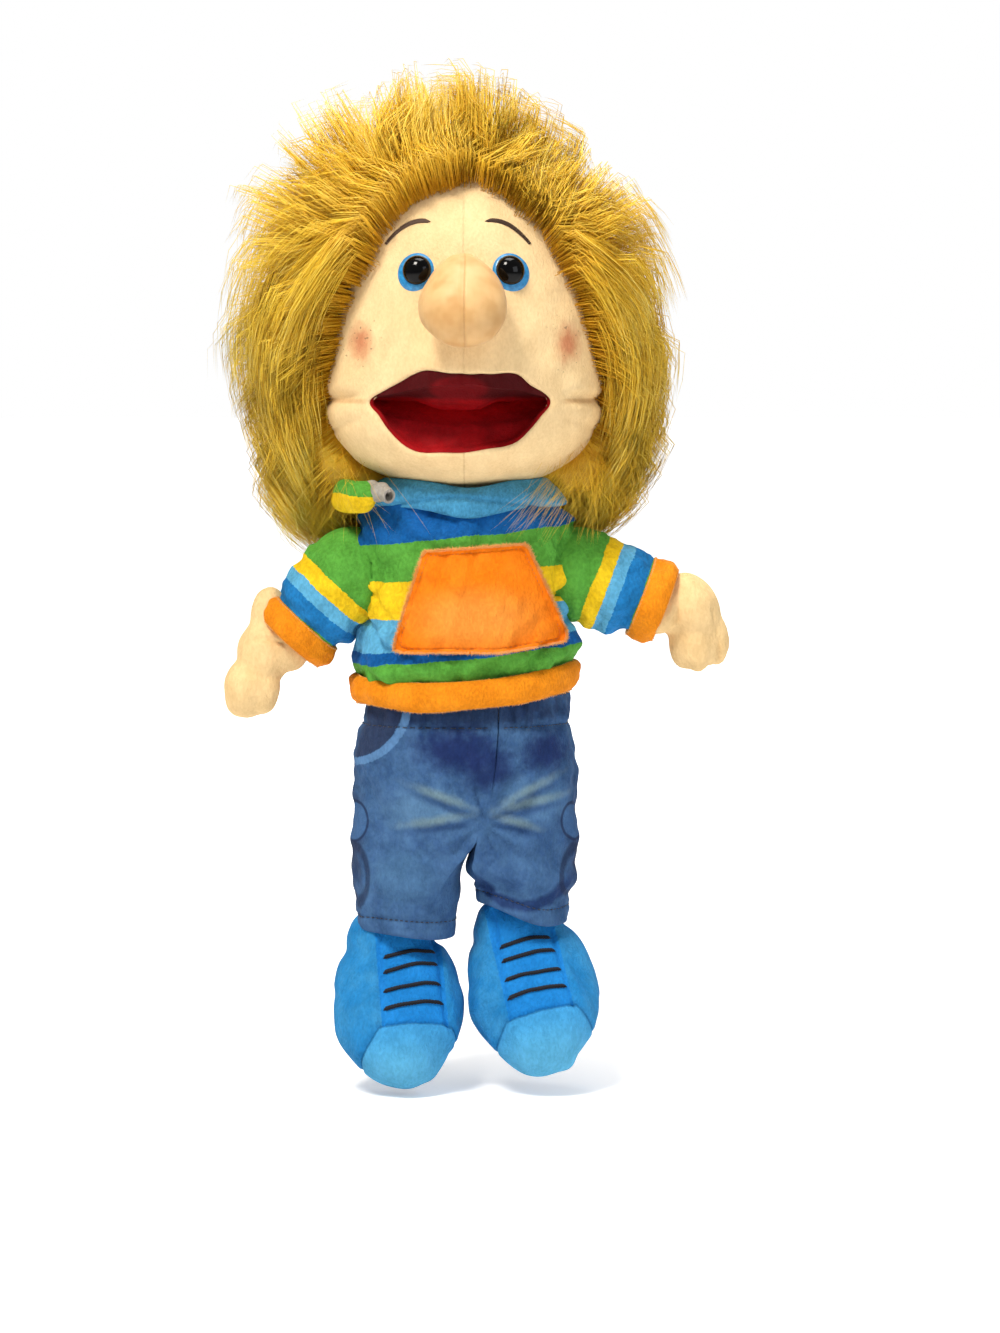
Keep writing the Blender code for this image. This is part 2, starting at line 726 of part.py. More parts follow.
def build_jaw(hinge):
    """Chin skin, foam, lower mouth plate, lining and thumb strap, all on the jaw."""
    front, low = -0.12, 0.04

    def jaw_space(name, down, rear_y):
        """The room under the lower mouth plane, moved down by a distance."""
        top = HINGE_Z - down
        slope = math.tan(JAW_DROP)
        return side_prism(
            name,
            (
                (rear_y, top - (HINGE_Y - rear_y) * slope),
                (front, top - (HINGE_Y - front) * slope),
                (front, low),
                (rear_y, low),
            ),
            0.1,
        )

    radii = (JAW_HALF_WIDTH, HEAD_HALF_DEPTH, JAW_HALF_HEIGHT)
    centre = (0, HEAD_Y, HINGE_Z)
    foam_inset = SKIN_WALL + GAP
    skin_space = jaw_space("jaw_space", GAP, JAW_REAR_Y)
    hollow = ellipsoid("chin_hollow", [r - SKIN_WALL for r in radii], None, centre)
    for side, sign in SIDES.items():
        panel = ellipsoid(f"chin_panel_{side}", radii, "skin", centre, rings=16)
        sliced(panel, (sign * GAP / 2, 0, 0), (-sign, 0, 0))
        combine(panel, skin_space, "INTERSECT")
        combine(panel, hollow)
    stack = GAP + LINING + GAP + BOARD + GAP
    foam = ellipsoid("chin_foam", [r - foam_inset for r in radii], "foam", centre, rings=16)
    drop = stack / math.cos(JAW_DROP) + GAP
    combine(foam, jaw_space("foam_space", drop, JAW_REAR_Y), "INTERSECT")
    half_width = THUMB_STRAP_RADII[0] + 2 * GAP
    inner = [radii[0] * 0.5, radii[1] - foam_inset - CHIN_WALL, radii[2] - foam_inset - CHIN_WALL]
    cavity = ellipsoid("thumb_cavity", inner, None, centre)
    cavity.scale.x = (half_width / inner[0]) * 1.6
    combine(foam, cavity)

    floor = add_empty("jaw_plane", (0, 0, 0), rotation=(JAW_DROP, 0, 0), parent=hinge)
    level = -2 * GAP
    mouth_plate("jaw_lining", 0.96, level - LINING, level, "mouth_red", floor)
    level -= LINING + GAP
    mouth_plate("jaw_board", 0.92, level - BOARD, level, "board", floor)
    level -= BOARD + 2 * GAP
    where = (0, -MOUTH_DEPTH * 0.40, level)
    radii = THUMB_STRAP_RADII
    width = THUMB_STRAP_WIDTH / 2
    arch("thumb_strap", radii, STRAP_WALL, width, "strap", floor, where, upwards=-1)


# ---------------------------------------------------------------- body
def build_torso():
    """Inner sleeve, jumper with hem, collar, pocket and hood, and the top of the trousers."""
    body = lofted("body_sleeve", BODY, BODY_WALL, "cotton")
    back = side_prism(
        "back_opening",
        (
            (BODY_BACK_OPENING_Y, -0.03),
            (0.08, -0.03),
            (0.08, BODY_BACK_OPENING_TOP),
            (BODY_BACK_OPENING_Y, BODY_BACK_OPENING_TOP),
        ),
        0.1,
    )
    combine(body, back)
    jumper = lofted("jumper_body", JUMPER, CLOTH_WALL, "stripe_blue")
    for side, sign in SIDES.items():
        reach = SLEEVE_ROOT_RADIUS + SWING_GAP
        for part, drop in (("armhole", 0.0), ("underarm", ARMHOLE_DROP)):
            radii = (reach, reach, reach + drop)
            place = (sign * SHOULDER_X, 0, SHOULDER_Z - drop)
            combine(jumper, ellipsoid(f"{part}_{side}", radii, None, place))
    lowest = JUMPER[0]
    hem_top = lowest[0] - GAP
    hem = [
        taken_in(lowest, -HEM_PROUD, hem_top - HEM_DROP),
        taken_in(lowest, -HEM_PROUD, hem_top),
    ]
    lofted("jumper_hem", hem, HEM_WALL, "orange")
    top = JUMPER[-1]
    # The sloped collar starts above the jumper's flat top edge at its front.
    start = top[0] + GAP - COLLAR_SLOPE * top[2]
    collar = [
        (start, *top[1:]),
        taken_in(top, COLLAR_LEAN * 0.35, start + COLLAR_HEIGHT * 0.6),
        taken_in(top, COLLAR_LEAN, start + COLLAR_HEIGHT),
    ]
    lofted("jumper_collar", collar, COLLAR_WALL, "sky", slope=COLLAR_SLOPE)
    build_pocket()
    build_hood()
    build_trouser_top()


def build_pocket():
    """Kangaroo pocket, a patch with slanted sides that follows the jumper's front."""
    low, high = POCKET_SPAN
    outline = [
        (-POCKET_HALF_WIDTH, low),
        (POCKET_HALF_WIDTH, low),
        (POCKET_HALF_WIDTH, POCKET_SHOULDER_Z),
        (POCKET_TOP_HALF_WIDTH, high),
        (-POCKET_TOP_HALF_WIDTH, high),
        (-POCKET_HALF_WIDTH, POCKET_SHOULDER_Z),
    ]
    sections = [taken_in(s, -(GAP + POCKET_WALL)) for s in JUMPER]
    pocket = lofted("jumper_pocket", sections, POCKET_WALL, "orange")
    frame = prism(
        "pocket_outline",
        outline,
        0.03,
        None,
        rotation=(math.pi / 2, 0, 0),
        location=(0, -0.045, 0),
    )
    combine(pocket, frame, "INTERSECT")


def build_hood():
    """Hood hanging down the back, with its rolled rim round the back of the neck."""
    back_at_hood = JUMPER[2][3]
    middle = (0, back_at_hood + HOOD_RADII[1] + 0.006, HOOD_Z)
    ellipsoid("hood_bag", HOOD_RADII, "stripe_green", segments=20, rings=10, location=middle)
    front, back = HOOD_RIM_REACH
    steps = 12
    line = [(-HOOD_RIM_HALF_WIDTH, front, HOOD_RIM_Z)]
    for step in range(steps + 1):
        turn = math.pi * (1 - step / steps)
        line.append(
            (
                HOOD_RIM_HALF_WIDTH * math.cos(turn),
                front + 0.012 + (back - front - 0.012) * math.sin(turn),
                HOOD_RIM_Z,
            )
        )
    line.append((HOOD_RIM_HALF_WIDTH, front, HOOD_RIM_Z))
    rod("hood_rim", line, HOOD_RIM_RADIUS, "stripe_green", bevel_resolution=3)


def build_trouser_top():
    """Waistband with its elastic, and the seat that the trouser legs hang from."""
    low, high = WAISTBAND_SPAN
    waist = (low, WAIST_HALF_WIDTH, WAIST_FRONT, WAIST_BACK)
    lofted("trouser_waistband", [waist, (high, *waist[1:])], WAISTBAND_WALL, "denim")
    middle = (low + high) / 2
    inside = taken_in(waist, WAISTBAND_WALL + GAP)
    elastic = [
        (middle - ELASTIC_HALF_HEIGHT, *inside[1:]),
        (middle + ELASTIC_HALF_HEIGHT, *inside[1:]),
    ]
    lofted("waist_elastic", elastic, ELASTIC_WALL, "elastic")
    seat = [
        taken_in(waist, 0, SEAT_BOTTOM_Z),
        taken_in(waist, -SEAT_BULGE, (SEAT_BOTTOM_Z + low) / 2),
        taken_in(waist, 0, low - GAP),
    ]
    lofted("trouser_seat", seat, CLOTH_WALL, "denim", floor=CLOTH_WALL)


def build_neck():
    """Fabric neck between the collar and the head, on the turning joint."""
    low, high = NECK_SPAN
    half_width, half_depth = NECK_RADII
    section = (half_width, NECK_Y - half_depth, NECK_Y + half_depth)
    lofted("neck_tube", [(low, *section), (high, *section)], SKIN_WALL, "skin", steps=20)


# ---------------------------------------------------------------- arms
def build_arm(side, sign):
    """Sleeve, cuff and stuffed arm with its mitten hand, hung from the shoulder's tab."""
    pose = ARM_POSE[side]
    place = (sign * SHOULDER_X, 0, SHOULDER_Z)
    shoulder = add_empty(f"shoulder_pivot_{side}", place, parent=AXIS)
    along = add_empty(
        f"arm_frame_{side}", (0, 0, 0), (0, sign * (math.pi / 2 + pose["drop"]), 0), shoulder
    )
    ellipsoid(f"arm_tab_{side}", TAB_RADII, "cotton", segments=12, rings=8, parent=along)

    ball_steps = 5
    start = math.asin(SLEEVE_MOUTH_RADIUS / SLEEVE_ROOT_RADIUS)
    outer = []
    inner = []
    inner_radius = SLEEVE_ROOT_RADIUS - CLOTH_WALL
    for step in range(ball_steps + 1):
        turn = start + (math.pi / 2 - start) * step / ball_steps
        outer.append((SLEEVE_ROOT_RADIUS * math.sin(turn), -SLEEVE_ROOT_RADIUS * math.cos(turn)))
        inner.append((inner_radius * math.sin(turn), -inner_radius * math.cos(turn)))
    outer.append((SLEEVE_END_RADIUS, SLEEVE_LENGTH))
    inner.append((SLEEVE_END_RADIUS - CLOTH_WALL, SLEEVE_LENGTH))
    chain = outer[::-1] + inner
    turned(f"sleeve_{side}", chain, "stripe_green", steps=20, parent=along)

    cuff_start = SLEEVE_LENGTH + GAP
    cuff_end = cuff_start + CUFF_LENGTH
    cuff_inner = CUFF_RADIUS - HEM_WALL
    cuff = (
        (cuff_inner, cuff_end),
        (CUFF_RADIUS, cuff_end),
        (CUFF_RADIUS, cuff_start),
        (cuff_inner, cuff_start),
    )
    turned(f"cuff_{side}", cuff, "orange", steps=20, parent=along)
    build_hand(side, sign, along, pose)


def build_hand(side, sign, along, pose):
    """The stuffed arm inside the sleeve, joined with palm, fingers and thumb."""
    down = sign  # local X of the arm's frame points down on the left arm and up on the right
    ball_steps = 4
    arm = [(0.0, WRIST_AT + 0.008)]
    arm += [(ARM_RADIUS * 0.75, WRIST_AT + 0.008), (ARM_RADIUS, WRIST_AT - 0.004)]
    for step in range(ball_steps):
        turn = math.pi / 2 * step / ball_steps
        arm.append(
            (ARM_RADIUS * math.cos(turn), ARM_START + ARM_RADIUS * (1 - math.sin(turn)) * 0.6)
        )
    arm.append((0.0, ARM_START))
    hand = turned(f"hand_{side}", arm, "skin", closed=False, steps=16, parent=along)

    bend = down * pose["hand_bend"]
    wrist = Vector((0, 0, WRIST_AT))
    turn = Matrix.Rotation(bend, 3, "Y")

    def lobe(name, radii, reach, aside, spread):
        """An oval lobe at a place given along and across the hand."""
        centre = wrist + turn @ Vector((aside, 0, reach))
        placed = {"parent": along, "location": centre, "rotation": (0, bend + spread, 0)}
        return ellipsoid(name, radii, None, segments=16, rings=10, **placed)

    thumb_way = down * pose["thumb"]
    spread = thumb_way * pose["thumb_spread"]
    palm = lobe(f"palm_{side}", PALM_RADII, 0.0155, 0.001 * down, 0)
    fingers = lobe(f"fingers_{side}", FINGER_RADII, 0.026, 0.001 * down, 0)
    reach = pose["thumb_reach"]
    thumb = lobe(f"thumb_{side}", THUMB_RADII, reach, THUMB_ASIDE * thumb_way, spread)
    for part in (palm, fingers, thumb):
        combine(hand, part, "UNION")


# ---------------------------------------------------------------- legs
def build_leg(side, sign):
    """Trouser leg with the stuffed leg inside it, hung from the hip."""
    hip = add_empty(f"hip_pivot_{side}", (sign * HIP_X, HIP_Y, HIP_Z), parent=AXIS)
    ball_steps = 6
    outer = []
    inner = []
    wall = CLOTH_WALL
    for step in range(ball_steps + 1):
        turn = math.pi / 2 * step / ball_steps
        outer.append((THIGH_RADIUS * math.sin(turn), THIGH_RADIUS * math.cos(turn)))
        reach = THIGH_RADIUS - wall
        inner.append((reach * math.sin(turn), reach * math.cos(turn)))
    length = HIP_Z - TROUSER_HEM_Z
    outer.append((HEM_RADIUS, -length))
    inner.append((HEM_RADIUS - wall, -length))
    chain = outer + inner[::-1]
    turned(f"trouser_leg_{side}", chain, "denim", closed=False, steps=20, parent=hip)

    end = LEG_BOTTOM_Z - HIP_Z
    cap_steps = 4
    leg = []
    for step in range(cap_steps + 1):
        turn = math.pi / 2 * step / cap_steps
        leg.append((LEG_RADIUS * math.sin(turn), LEG_RADIUS * math.cos(turn)))
    leg += [(LEG_RADIUS, end + 0.002), (LEG_RADIUS - 0.002, end), (0.0, end)]
    turned(f"leg_{side}", leg, "cotton", closed=False, steps=14, parent=hip)


def build_shoe(side, sign):
    """Upper, toe cap, sole and embroidered laces, hung from the ankle."""
    ankle = add_empty(
        f"ankle_pivot_{side}",
        (sign * ANKLE_X, ANKLE_Y, ANKLE_Z),
        (FOOT_TILT, 0, TOE_OUT[side]),
        AXIS,
    )
    ankle.rotation_mode = "XYZ"
    centre = Vector((0, -SHOE_FORWARD, -SHOE_DROP))
    sole_top = centre.z + SOLE_TOP
    toe_line = centre.y + TOE_CAP_Y

    def piece(name, material):
        """The whole shoe form, before it is sliced."""
        return ellipsoid(name, SHOE_RADII, material, centre, segments=22, rings=14, parent=ankle)

    upper = piece(f"shoe_upper_{side}", "shoe_blue")
    sliced(upper, (0, 0, sole_top + GAP), (0, 0, -1))
    sliced(upper, (0, toe_line + GAP, 0), (0, -1, 0))
    ball = ellipsoid(
        f"ankle_ball_{side}", [ANKLE_RADIUS] * 3, None, segments=16, rings=10, parent=ankle
    )
    combine(upper, ball, "UNION")
    toe = piece(f"shoe_toe_{side}", "shoe_blue")
    sliced(toe, (0, 0, sole_top + GAP), (0, 0, -1))
    sliced(toe, (0, toe_line, 0), (0, 1, 0))
    sole = piece(f"shoe_sole_{side}", "shoe_blue")
    sliced(sole, (0, 0, sole_top), (0, 0, 1))
    sliced(sole, (0, 0, centre.z + SOLE_BOTTOM), (0, 0, -1))

    half_width, half_length, half_height = (r + LACE_RADIUS + GAP for r in SHOE_RADII)
    for number in range(LACES_PER_SHOE):
        y = LACE_FIRST_Y + 0.018 - LACE_PITCH * number
        steps = 6
        line = []
        for step in range(steps + 1):
            x = LACE_HALF_WIDTH * (2 * step / steps - 1)
            here = y - 0.002 * (x / LACE_HALF_WIDTH) ** 2
            rise = half_height * math.sqrt(
                1 - (x / half_width) ** 2 - (here / half_length) ** 2
            )
            line.append(centre + Vector((x, here, rise)))
        rod(f"lace_{side}_{number + 1}", line, LACE_RADIUS, "lace_thread", ankle, 1)


def build_puppet():
    """Every sub-assembly, from the head down."""
    _, hinge = build_head()
    build_wig()
    build_jaw(hinge)
    build_neck()
    build_torso()
    for side, sign in SIDES.items():
        build_arm(side, sign)
        build_leg(side, sign)
        build_shoe(side, sign)


build_puppet()
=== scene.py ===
"""The looks of a moving mouth puppet: a fur wig, a velour face with a mouth that opens, a striped
plush hoodie, printed jeans and plush shoes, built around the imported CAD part.
"""

import logging
import math
from dataclasses import dataclass
from enum import Enum
from typing import Any, Callable

import bmesh
import bpy
import numpy as np
from mathutils import Matrix, Vector
from mathutils.bvhtree import BVHTree


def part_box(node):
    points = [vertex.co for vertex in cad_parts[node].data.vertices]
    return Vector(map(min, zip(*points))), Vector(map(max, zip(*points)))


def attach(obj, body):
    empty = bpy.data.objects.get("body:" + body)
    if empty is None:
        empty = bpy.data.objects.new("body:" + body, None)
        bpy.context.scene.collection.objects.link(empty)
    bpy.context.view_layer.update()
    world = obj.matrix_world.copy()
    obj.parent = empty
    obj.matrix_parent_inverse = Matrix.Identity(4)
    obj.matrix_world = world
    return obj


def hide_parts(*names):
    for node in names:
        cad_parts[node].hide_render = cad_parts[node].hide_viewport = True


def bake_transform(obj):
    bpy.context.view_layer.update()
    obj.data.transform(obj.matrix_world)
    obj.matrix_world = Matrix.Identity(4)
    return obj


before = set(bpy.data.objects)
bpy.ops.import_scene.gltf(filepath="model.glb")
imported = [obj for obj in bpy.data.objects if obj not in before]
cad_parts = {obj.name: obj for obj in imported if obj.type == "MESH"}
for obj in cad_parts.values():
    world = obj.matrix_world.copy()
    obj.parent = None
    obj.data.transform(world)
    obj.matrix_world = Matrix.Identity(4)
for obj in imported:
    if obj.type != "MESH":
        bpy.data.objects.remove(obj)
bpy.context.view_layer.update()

log = logging.getLogger("puppet")

MM = 0.001
AXIS_Y = -0.0375
FRONT = np.array([0.0, -1.0, 0.0])


class Side(Enum):
    """Which side of the puppet a piece is on. The value is the sign of X there."""

    LEFT = 1
    RIGHT = -1

    @property
    def word(self) -> str:
        """The side as node names end with it."""
        return self.name.lower()


# ---------------------------------------------------------------- numbers


def wobble(points: np.ndarray, size: float, seed: int, octaves: int = 2) -> np.ndarray:
    """Smooth, repeatable noise at points in space.

    Args:
        points: N by 3 places in metres.
        size: the longest wave in metres.
        seed: picks the waves.
        octaves: how many finer layers there are.

    Returns:
        N values, mostly between -1 and 1.
    """
    rng = np.random.default_rng(seed)
    total = np.zeros(len(points))
    for octave in range(octaves):
        waves = rng.normal(size=(9, 3))
        waves /= np.linalg.norm(waves, axis=1)[:, None]
        waves *= (2 * math.pi / size * 2**octave) * rng.uniform(0.6, 1.3, (9, 1))
        phases = rng.uniform(0, 2 * math.pi, 9)
        total += np.sin(points @ waves.T + phases).mean(1) * 0.55**octave
    return total * 2.0


def smooth(low: float, high: float, value: np.ndarray) -> np.ndarray:
    """Eases from 0 to 1 as value goes from low to high."""
    t = np.clip((value - low) / (high - low), 0, 1)
    return t * t * (3 - 2 * t)


def bell(value: np.ndarray, width: float) -> np.ndarray:
    """1 at zero, falling away over width."""
    return np.exp(-((value / width) ** 2))


def unit(vectors: np.ndarray) -> np.ndarray:
    """Vectors scaled to length 1."""
    return vectors / np.maximum(np.linalg.norm(vectors, axis=-1, keepdims=True), 1e-12)


def through(stops: list[tuple[float, ...]], at: np.ndarray) -> np.ndarray:
    """A smooth line through stops.

    Args:
        stops: rows of (position, value, value, ...), in rising order of position.
        at: N positions.

    Returns:
        N rows with the values there.
    """
    rows = np.array(stops, float)
    x, y = rows[:, 0], rows[:, 1:]
    slope = np.gradient(y, x, axis=0)
    at = np.clip(at, x[0], x[-1])
    i = np.clip(np.searchsorted(x, at, side="right") - 1, 0, len(x) - 2)
    span = (x[i + 1] - x[i])[:, None]
    t = ((at - x[i])[:, None]) / span
    return (
        (2 * t**3 - 3 * t**2 + 1) * y[i]
        + (t**3 - 2 * t**2 + t) * span * slope[i]
        + (3 * t**2 - 2 * t**3) * y[i + 1]
        + (t**3 - t**2) * span * slope[i + 1]
    )


# ---------------------------------------------------------------- materials


def colour(code: str) -> tuple[float, float, float, float]:
    """An sRGB hex code as the linear colour that the shaders take."""
    parts = [int(code[i : i + 2], 16) / 255 for i in (0, 2, 4)]
    linear = [c / 12.92 if c <= 0.04045 else ((c + 0.055) / 1.055) ** 2.4 for c in parts]
    return (linear[0], linear[1], linear[2], 1.0)


class Finish:
    """One material, built from nodes around a Principled shader."""

    def __init__(self, name: str) -> None:
        """Starts an empty material with a shader and an output."""
        self.material = bpy.data.materials.new(name)
        self.material.use_nodes = True
        self.tree = self.material.node_tree
        self.tree.nodes.clear()
        self.shader = self.add("BsdfPrincipled")
        self.add("OutputMaterial", {"Surface": self.shader.outputs["BSDF"]})
        self.place = self.add("TexCoord").outputs["Object"]

    def add(
        self,
        kind: str,
        inputs: dict[str | int, Any] | None = None,
        stops: list[tuple[float, str]] | None = None,
        **settings: Any,
    ) -> bpy.types.Node:
        """Adds a node.

        Args:
            kind: the node's type without its ShaderNode prefix.
            inputs: a value or a socket for each named or numbered input.
            stops: positions and hex colours, for a colour ramp.
            settings: the node's own properties.

        Returns:
            The node.
        """
        node = self.tree.nodes.new("ShaderNode" + kind)
        for name, value in settings.items():
            setattr(node, name, value)
        for name, value in (inputs or {}).items():
            if isinstance(value, bpy.types.NodeSocket):
                self.tree.links.new(value, node.inputs[name])
            else:
                node.inputs[name].default_value = value
        if stops:
            ramp = node.color_ramp.elements
            while len(ramp) < len(stops):
                ramp.new(0.5)
            for element, (position, code) in zip(ramp, stops):
                element.position = position
                element.color = colour(code)
        return node

    def noise(self, size: float, detail: float = 2.0, stretch: tuple = (1, 1, 1), where: Any = None) -> Any:
        """A noise value whose features are size metres across, drawn out by stretch."""
        moved = self.add("Mapping", {"Vector": where or self.place, "Scale": tuple(1 / s for s in stretch)})
        settings = {"Vector": moved.outputs[0], "Scale": 1 / size, "Detail": detail, "Roughness": 0.55}
        made = self.add("TexNoise", settings)
        return made.outputs["Fac"]

    def sum(self, operation: str, first: Any, second: Any, clamp: bool = False) -> Any:
        """One arithmetic step on two values."""
        return self.add("Math", {0: first, 1: second}, operation=operation, use_clamp=clamp).outputs[0]

    def wave(self, value: Any, pitch: float) -> Any:
        """A sine that repeats each time value grows by pitch."""
        return self.add("Math", {0: self.sum("MULTIPLY", value, 2 * math.pi / pitch)}, operation="SINE").outputs[0]

    def ease(self, value: Any, low: float, high: float, start: float = 0.0, end: float = 1.0) -> Any:
        """Eases from start to end as value goes from low to high."""
        node = self.add(
            "MapRange",
            {"Value": value, "From Min": low, "From Max": high, "To Min": start, "To Max": end},
            interpolation_type="SMOOTHSTEP",
        )
        return node.outputs["Result"]

    def mix(self, share: Any, under: Any, over: Any, blend: str = "MIX") -> Any:
        """One colour laid over another by share."""
        node = self.add("Mix", {0: share, 6: under, 7: over}, data_type="RGBA", blend_type=blend)
        return node.outputs[2]

    def axes(self) -> tuple[Any, Any, Any]:
        """The place along X, Y and Z in metres."""
        split = self.add("SeparateXYZ", {"Vector": self.place})
        return split.outputs[0], split.outputs[1], split.outputs[2]

    def near(self, point: tuple[float, float, float], radii: tuple = (1, 1, 1)) -> Any:
        """The distance from a point, where 1 is the surface of an ellipsoid with these radii."""
        moved = self.add("Mapping", {"Vector": self.place, "Location": point, "Scale": radii}, vector_type="TEXTURE")
        return self.add("VectorMath", {0: moved.outputs[0]}, operation="LENGTH").outputs["Value"]

    def finish(self, base: Any, roughness: Any, height: Any, depth: float, **shader: Any) -> bpy.types.Material:
        """Connects the shader.

        Args:
            base: colour, as a socket or a value.
            roughness: roughness, as a socket or a value.
            height: the relief's height as a socket.
            depth: how deep the relief is, in metres.
            shader: other inputs of the shader, with _ for spaces.

        Returns:
            The material.
        """
        bump = self.add("Bump", {"Height": height, "Distance": depth, "Strength": 1.0})
        named = {name.replace("_", " "): value for name, value in shader.items()}
        wanted = {"Base Color": base, "Roughness": roughness, "Normal": bump.outputs["Normal"], **named}
        for name, value in wanted.items():
            if isinstance(value, bpy.types.NodeSocket):
                self.tree.links.new(value, self.shader.inputs[name])
            else:
                self.shader.inputs[name].default_value = value
        return self.material


def pile_finish(
    made: Finish,
    base: Any,
    pile: float = 0.45 * MM,
    nap: float = 9 * MM,
    shade: float = 0.3,
    depth: float = 0.35 * MM,
    extra_height: Any = None,
    sheen: float = 0.10,
    lean: tuple = (1, 1, 1.8),
) -> bpy.types.Material:
    """Short pile such as velour or plush: a fine grain, patches brushed lighter and darker, and a soft sheen.

    Args:
        made: the material under way.
        base: its colour as a socket or a value.
        pile: the size of a tuft.
        nap: the size of a brushed patch.
        shade: how far the patches and tufts change the colour.
        depth: how deep the grain is.
        extra_height: more relief, such as a seam, in units of depth.
        sheen: how much light the pile's ends catch.
        lean: how far the tufts are drawn out along each axis.

    Returns:
        The material.
    """
    # The nap is what tells plush from felt: broad soft patches where the pile has been brushed.
    brushed = made.ease(made.noise(nap, 3.0, lean), 0.3, 0.7)
    tufts = made.ease(made.noise(pile * 2.2, 3.0, lean), 0.32, 0.68)
    grain = made.noise(pile, 2.0, lean)
    light = made.sum("ADD", made.sum("MULTIPLY", brushed, 0.5), made.sum("MULTIPLY", tufts, 0.5))
    dark = made.mix(1.0, base, (1 - shade, 1 - shade * 1.08, 1 - shade * 1.2, 1), "MULTIPLY")
    pale = made.mix(shade * 0.75, base, base, "SCREEN")
    shaded = made.mix(light, dark, pale)
    height = made.sum("ADD", made.sum("MULTIPLY", tufts, 0.8), grain)
    if extra_height is not None:
        height = made.sum("ADD", height, extra_height)
    roughness = made.ease(brushed, 0, 1, 0.92, 0.72)
    return made.finish(
        shaded,
        roughness,
        height,
        depth,
        Sheen_Weight=sheen,
        Sheen_Roughness=0.45,
        Sheen_Tint=pale,
        Specular_IOR_Level=0.18,
    )


def seam_lines(
    made: Finish, across: Any, along: Any, width: float = 0.5 * MM, pitch: float = 2.4 * MM
) -> tuple[Any, Any]:
    """A sewn seam where across is zero.

    Args:
        made: the material under way.
        across: the distance from the seam.
        along: the distance along it.
        width: the seam's width.
        pitch: the distance from stitch to stitch.

    Returns:
        (how much of a point is in the seam, its height below the cloth in units of relief).
    """
    away = made.sum("ABSOLUTE", across, 0.0)
    pinch = made.wave(along, pitch)
    wide = made.sum("ADD", width, made.sum("MULTIPLY", pinch, width * 0.25))
    inside = made.sum("SUBTRACT", 1.0, made.sum("DIVIDE", away, wide), clamp=True)
    return inside, made.sum("MULTIPLY", inside, -3.0)


# ---------------------------------------------------------------- shapes


def surface(
    name: str,
    columns: int,
    rows: int,
    place: Callable[[np.ndarray, np.ndarray], np.ndarray],
    weld: float = 1e-6,
    outward: bool = True,
) -> bpy.types.Object:
    """A smooth surface, made from a square grid laid out in space.

    Args:
        name: the piece's name.
        columns: faces along the first direction.
        rows: faces along the second.
        place: gives N by 3 places for N positions from 0 to 1 along each direction.
        weld: corners closer than this become one, which closes seams and poles.
        outward: turns the faces outwards.

    Returns:
        The piece. Its UV map holds the two positions.
    """
    made = bmesh.new()
    made.loops.layers.uv.new("UVMap")
    bmesh.ops.create_grid(made, x_segments=columns, y_segments=rows, size=0.5, calc_uvs=True)
    flat = np.array([v.co[:2] for v in made.verts]) + 0.5
    for vert, at in zip(made.verts, place(flat[:, 0], flat[:, 1])):
        vert.co = at
    bmesh.ops.remove_doubles(made, verts=made.verts, dist=weld)
    bmesh.ops.dissolve_degenerate(made, dist=1e-7, edges=made.edges)
    if outward:
        bmesh.ops.recalc_face_normals(made, faces=made.faces)
    return keep(name, made)


def keep(name: str, made: bmesh.types.BMesh) -> bpy.types.Object:
    """Turns a finished bmesh into a smooth-shaded piece of the scene."""
    mesh = bpy.data.meshes.new(name)
    made.to_mesh(mesh)
    made.free()
    mesh.shade_smooth()
    piece = bpy.data.objects.new(name, mesh)
    bpy.context.scene.collection.objects.link(piece)
    return piece


def places(piece: bpy.types.Object) -> np.ndarray:
    """A piece's corners as N by 3 numbers."""
    co = np.zeros(len(piece.data.vertices) * 3)
    piece.data.vertices.foreach_get("co", co)
    return co.reshape(-1, 3)


def normals(piece: bpy.types.Object) -> np.ndarray:
    """A piece's corner normals as N by 3 numbers."""
    found = np.zeros(len(piece.data.vertices) * 3)
    piece.data.vertices.foreach_get("normal", found)
    return found.reshape(-1, 3)


def put(piece: bpy.types.Object, co: np.ndarray) -> bpy.types.Object:
    """Moves a piece's corners."""
    piece.data.vertices.foreach_set("co", co.astype(np.float32).ravel())
    piece.data.update()
    return piece


def soften(piece: bpy.types.Object, size: float, depth: float, seed: int) -> bpy.types.Object:
    """Makes a stuffed piece slightly uneven, by depth over patches of size."""
    co = places(piece)
    return put(piece, co + normals(piece) * (wobble(co, size, seed) * depth)[:, None])


def apply_all(piece: bpy.types.Object) -> bpy.types.Object:
    """Applies the piece's modifiers."""
    shape = piece.evaluated_get(bpy.context.evaluated_depsgraph_get())
    mesh = bpy.data.meshes.new_from_object(shape)
    piece.modifiers.clear()
    piece.data = mesh
    mesh.shade_smooth()
    return piece


def refine(
    piece: bpy.types.Object, levels: int = 1, thickness: float = 0.0, offset: float = -1.0
) -> bpy.types.Object:
    """Gives a piece thickness and subdivides it."""
    if thickness:
        solid = piece.modifiers.new("solid", "SOLIDIFY")
        solid.thickness = thickness
        solid.offset = offset
        solid.use_rim = True
        solid.use_quality_normals = True
    smoothed = piece.modifiers.new("smooth", "SUBSURF")
    smoothed.levels = smoothed.render_levels = levels
    return apply_all(piece)


def dress(piece: bpy.types.Object, finish: bpy.types.Material, slot: str) -> bpy.types.Object:
    """Gives a piece its material. The slot, the record's slot that it comes from, is not used."""
    piece.data.materials.clear()
    piece.data.materials.append(finish)
    return piece


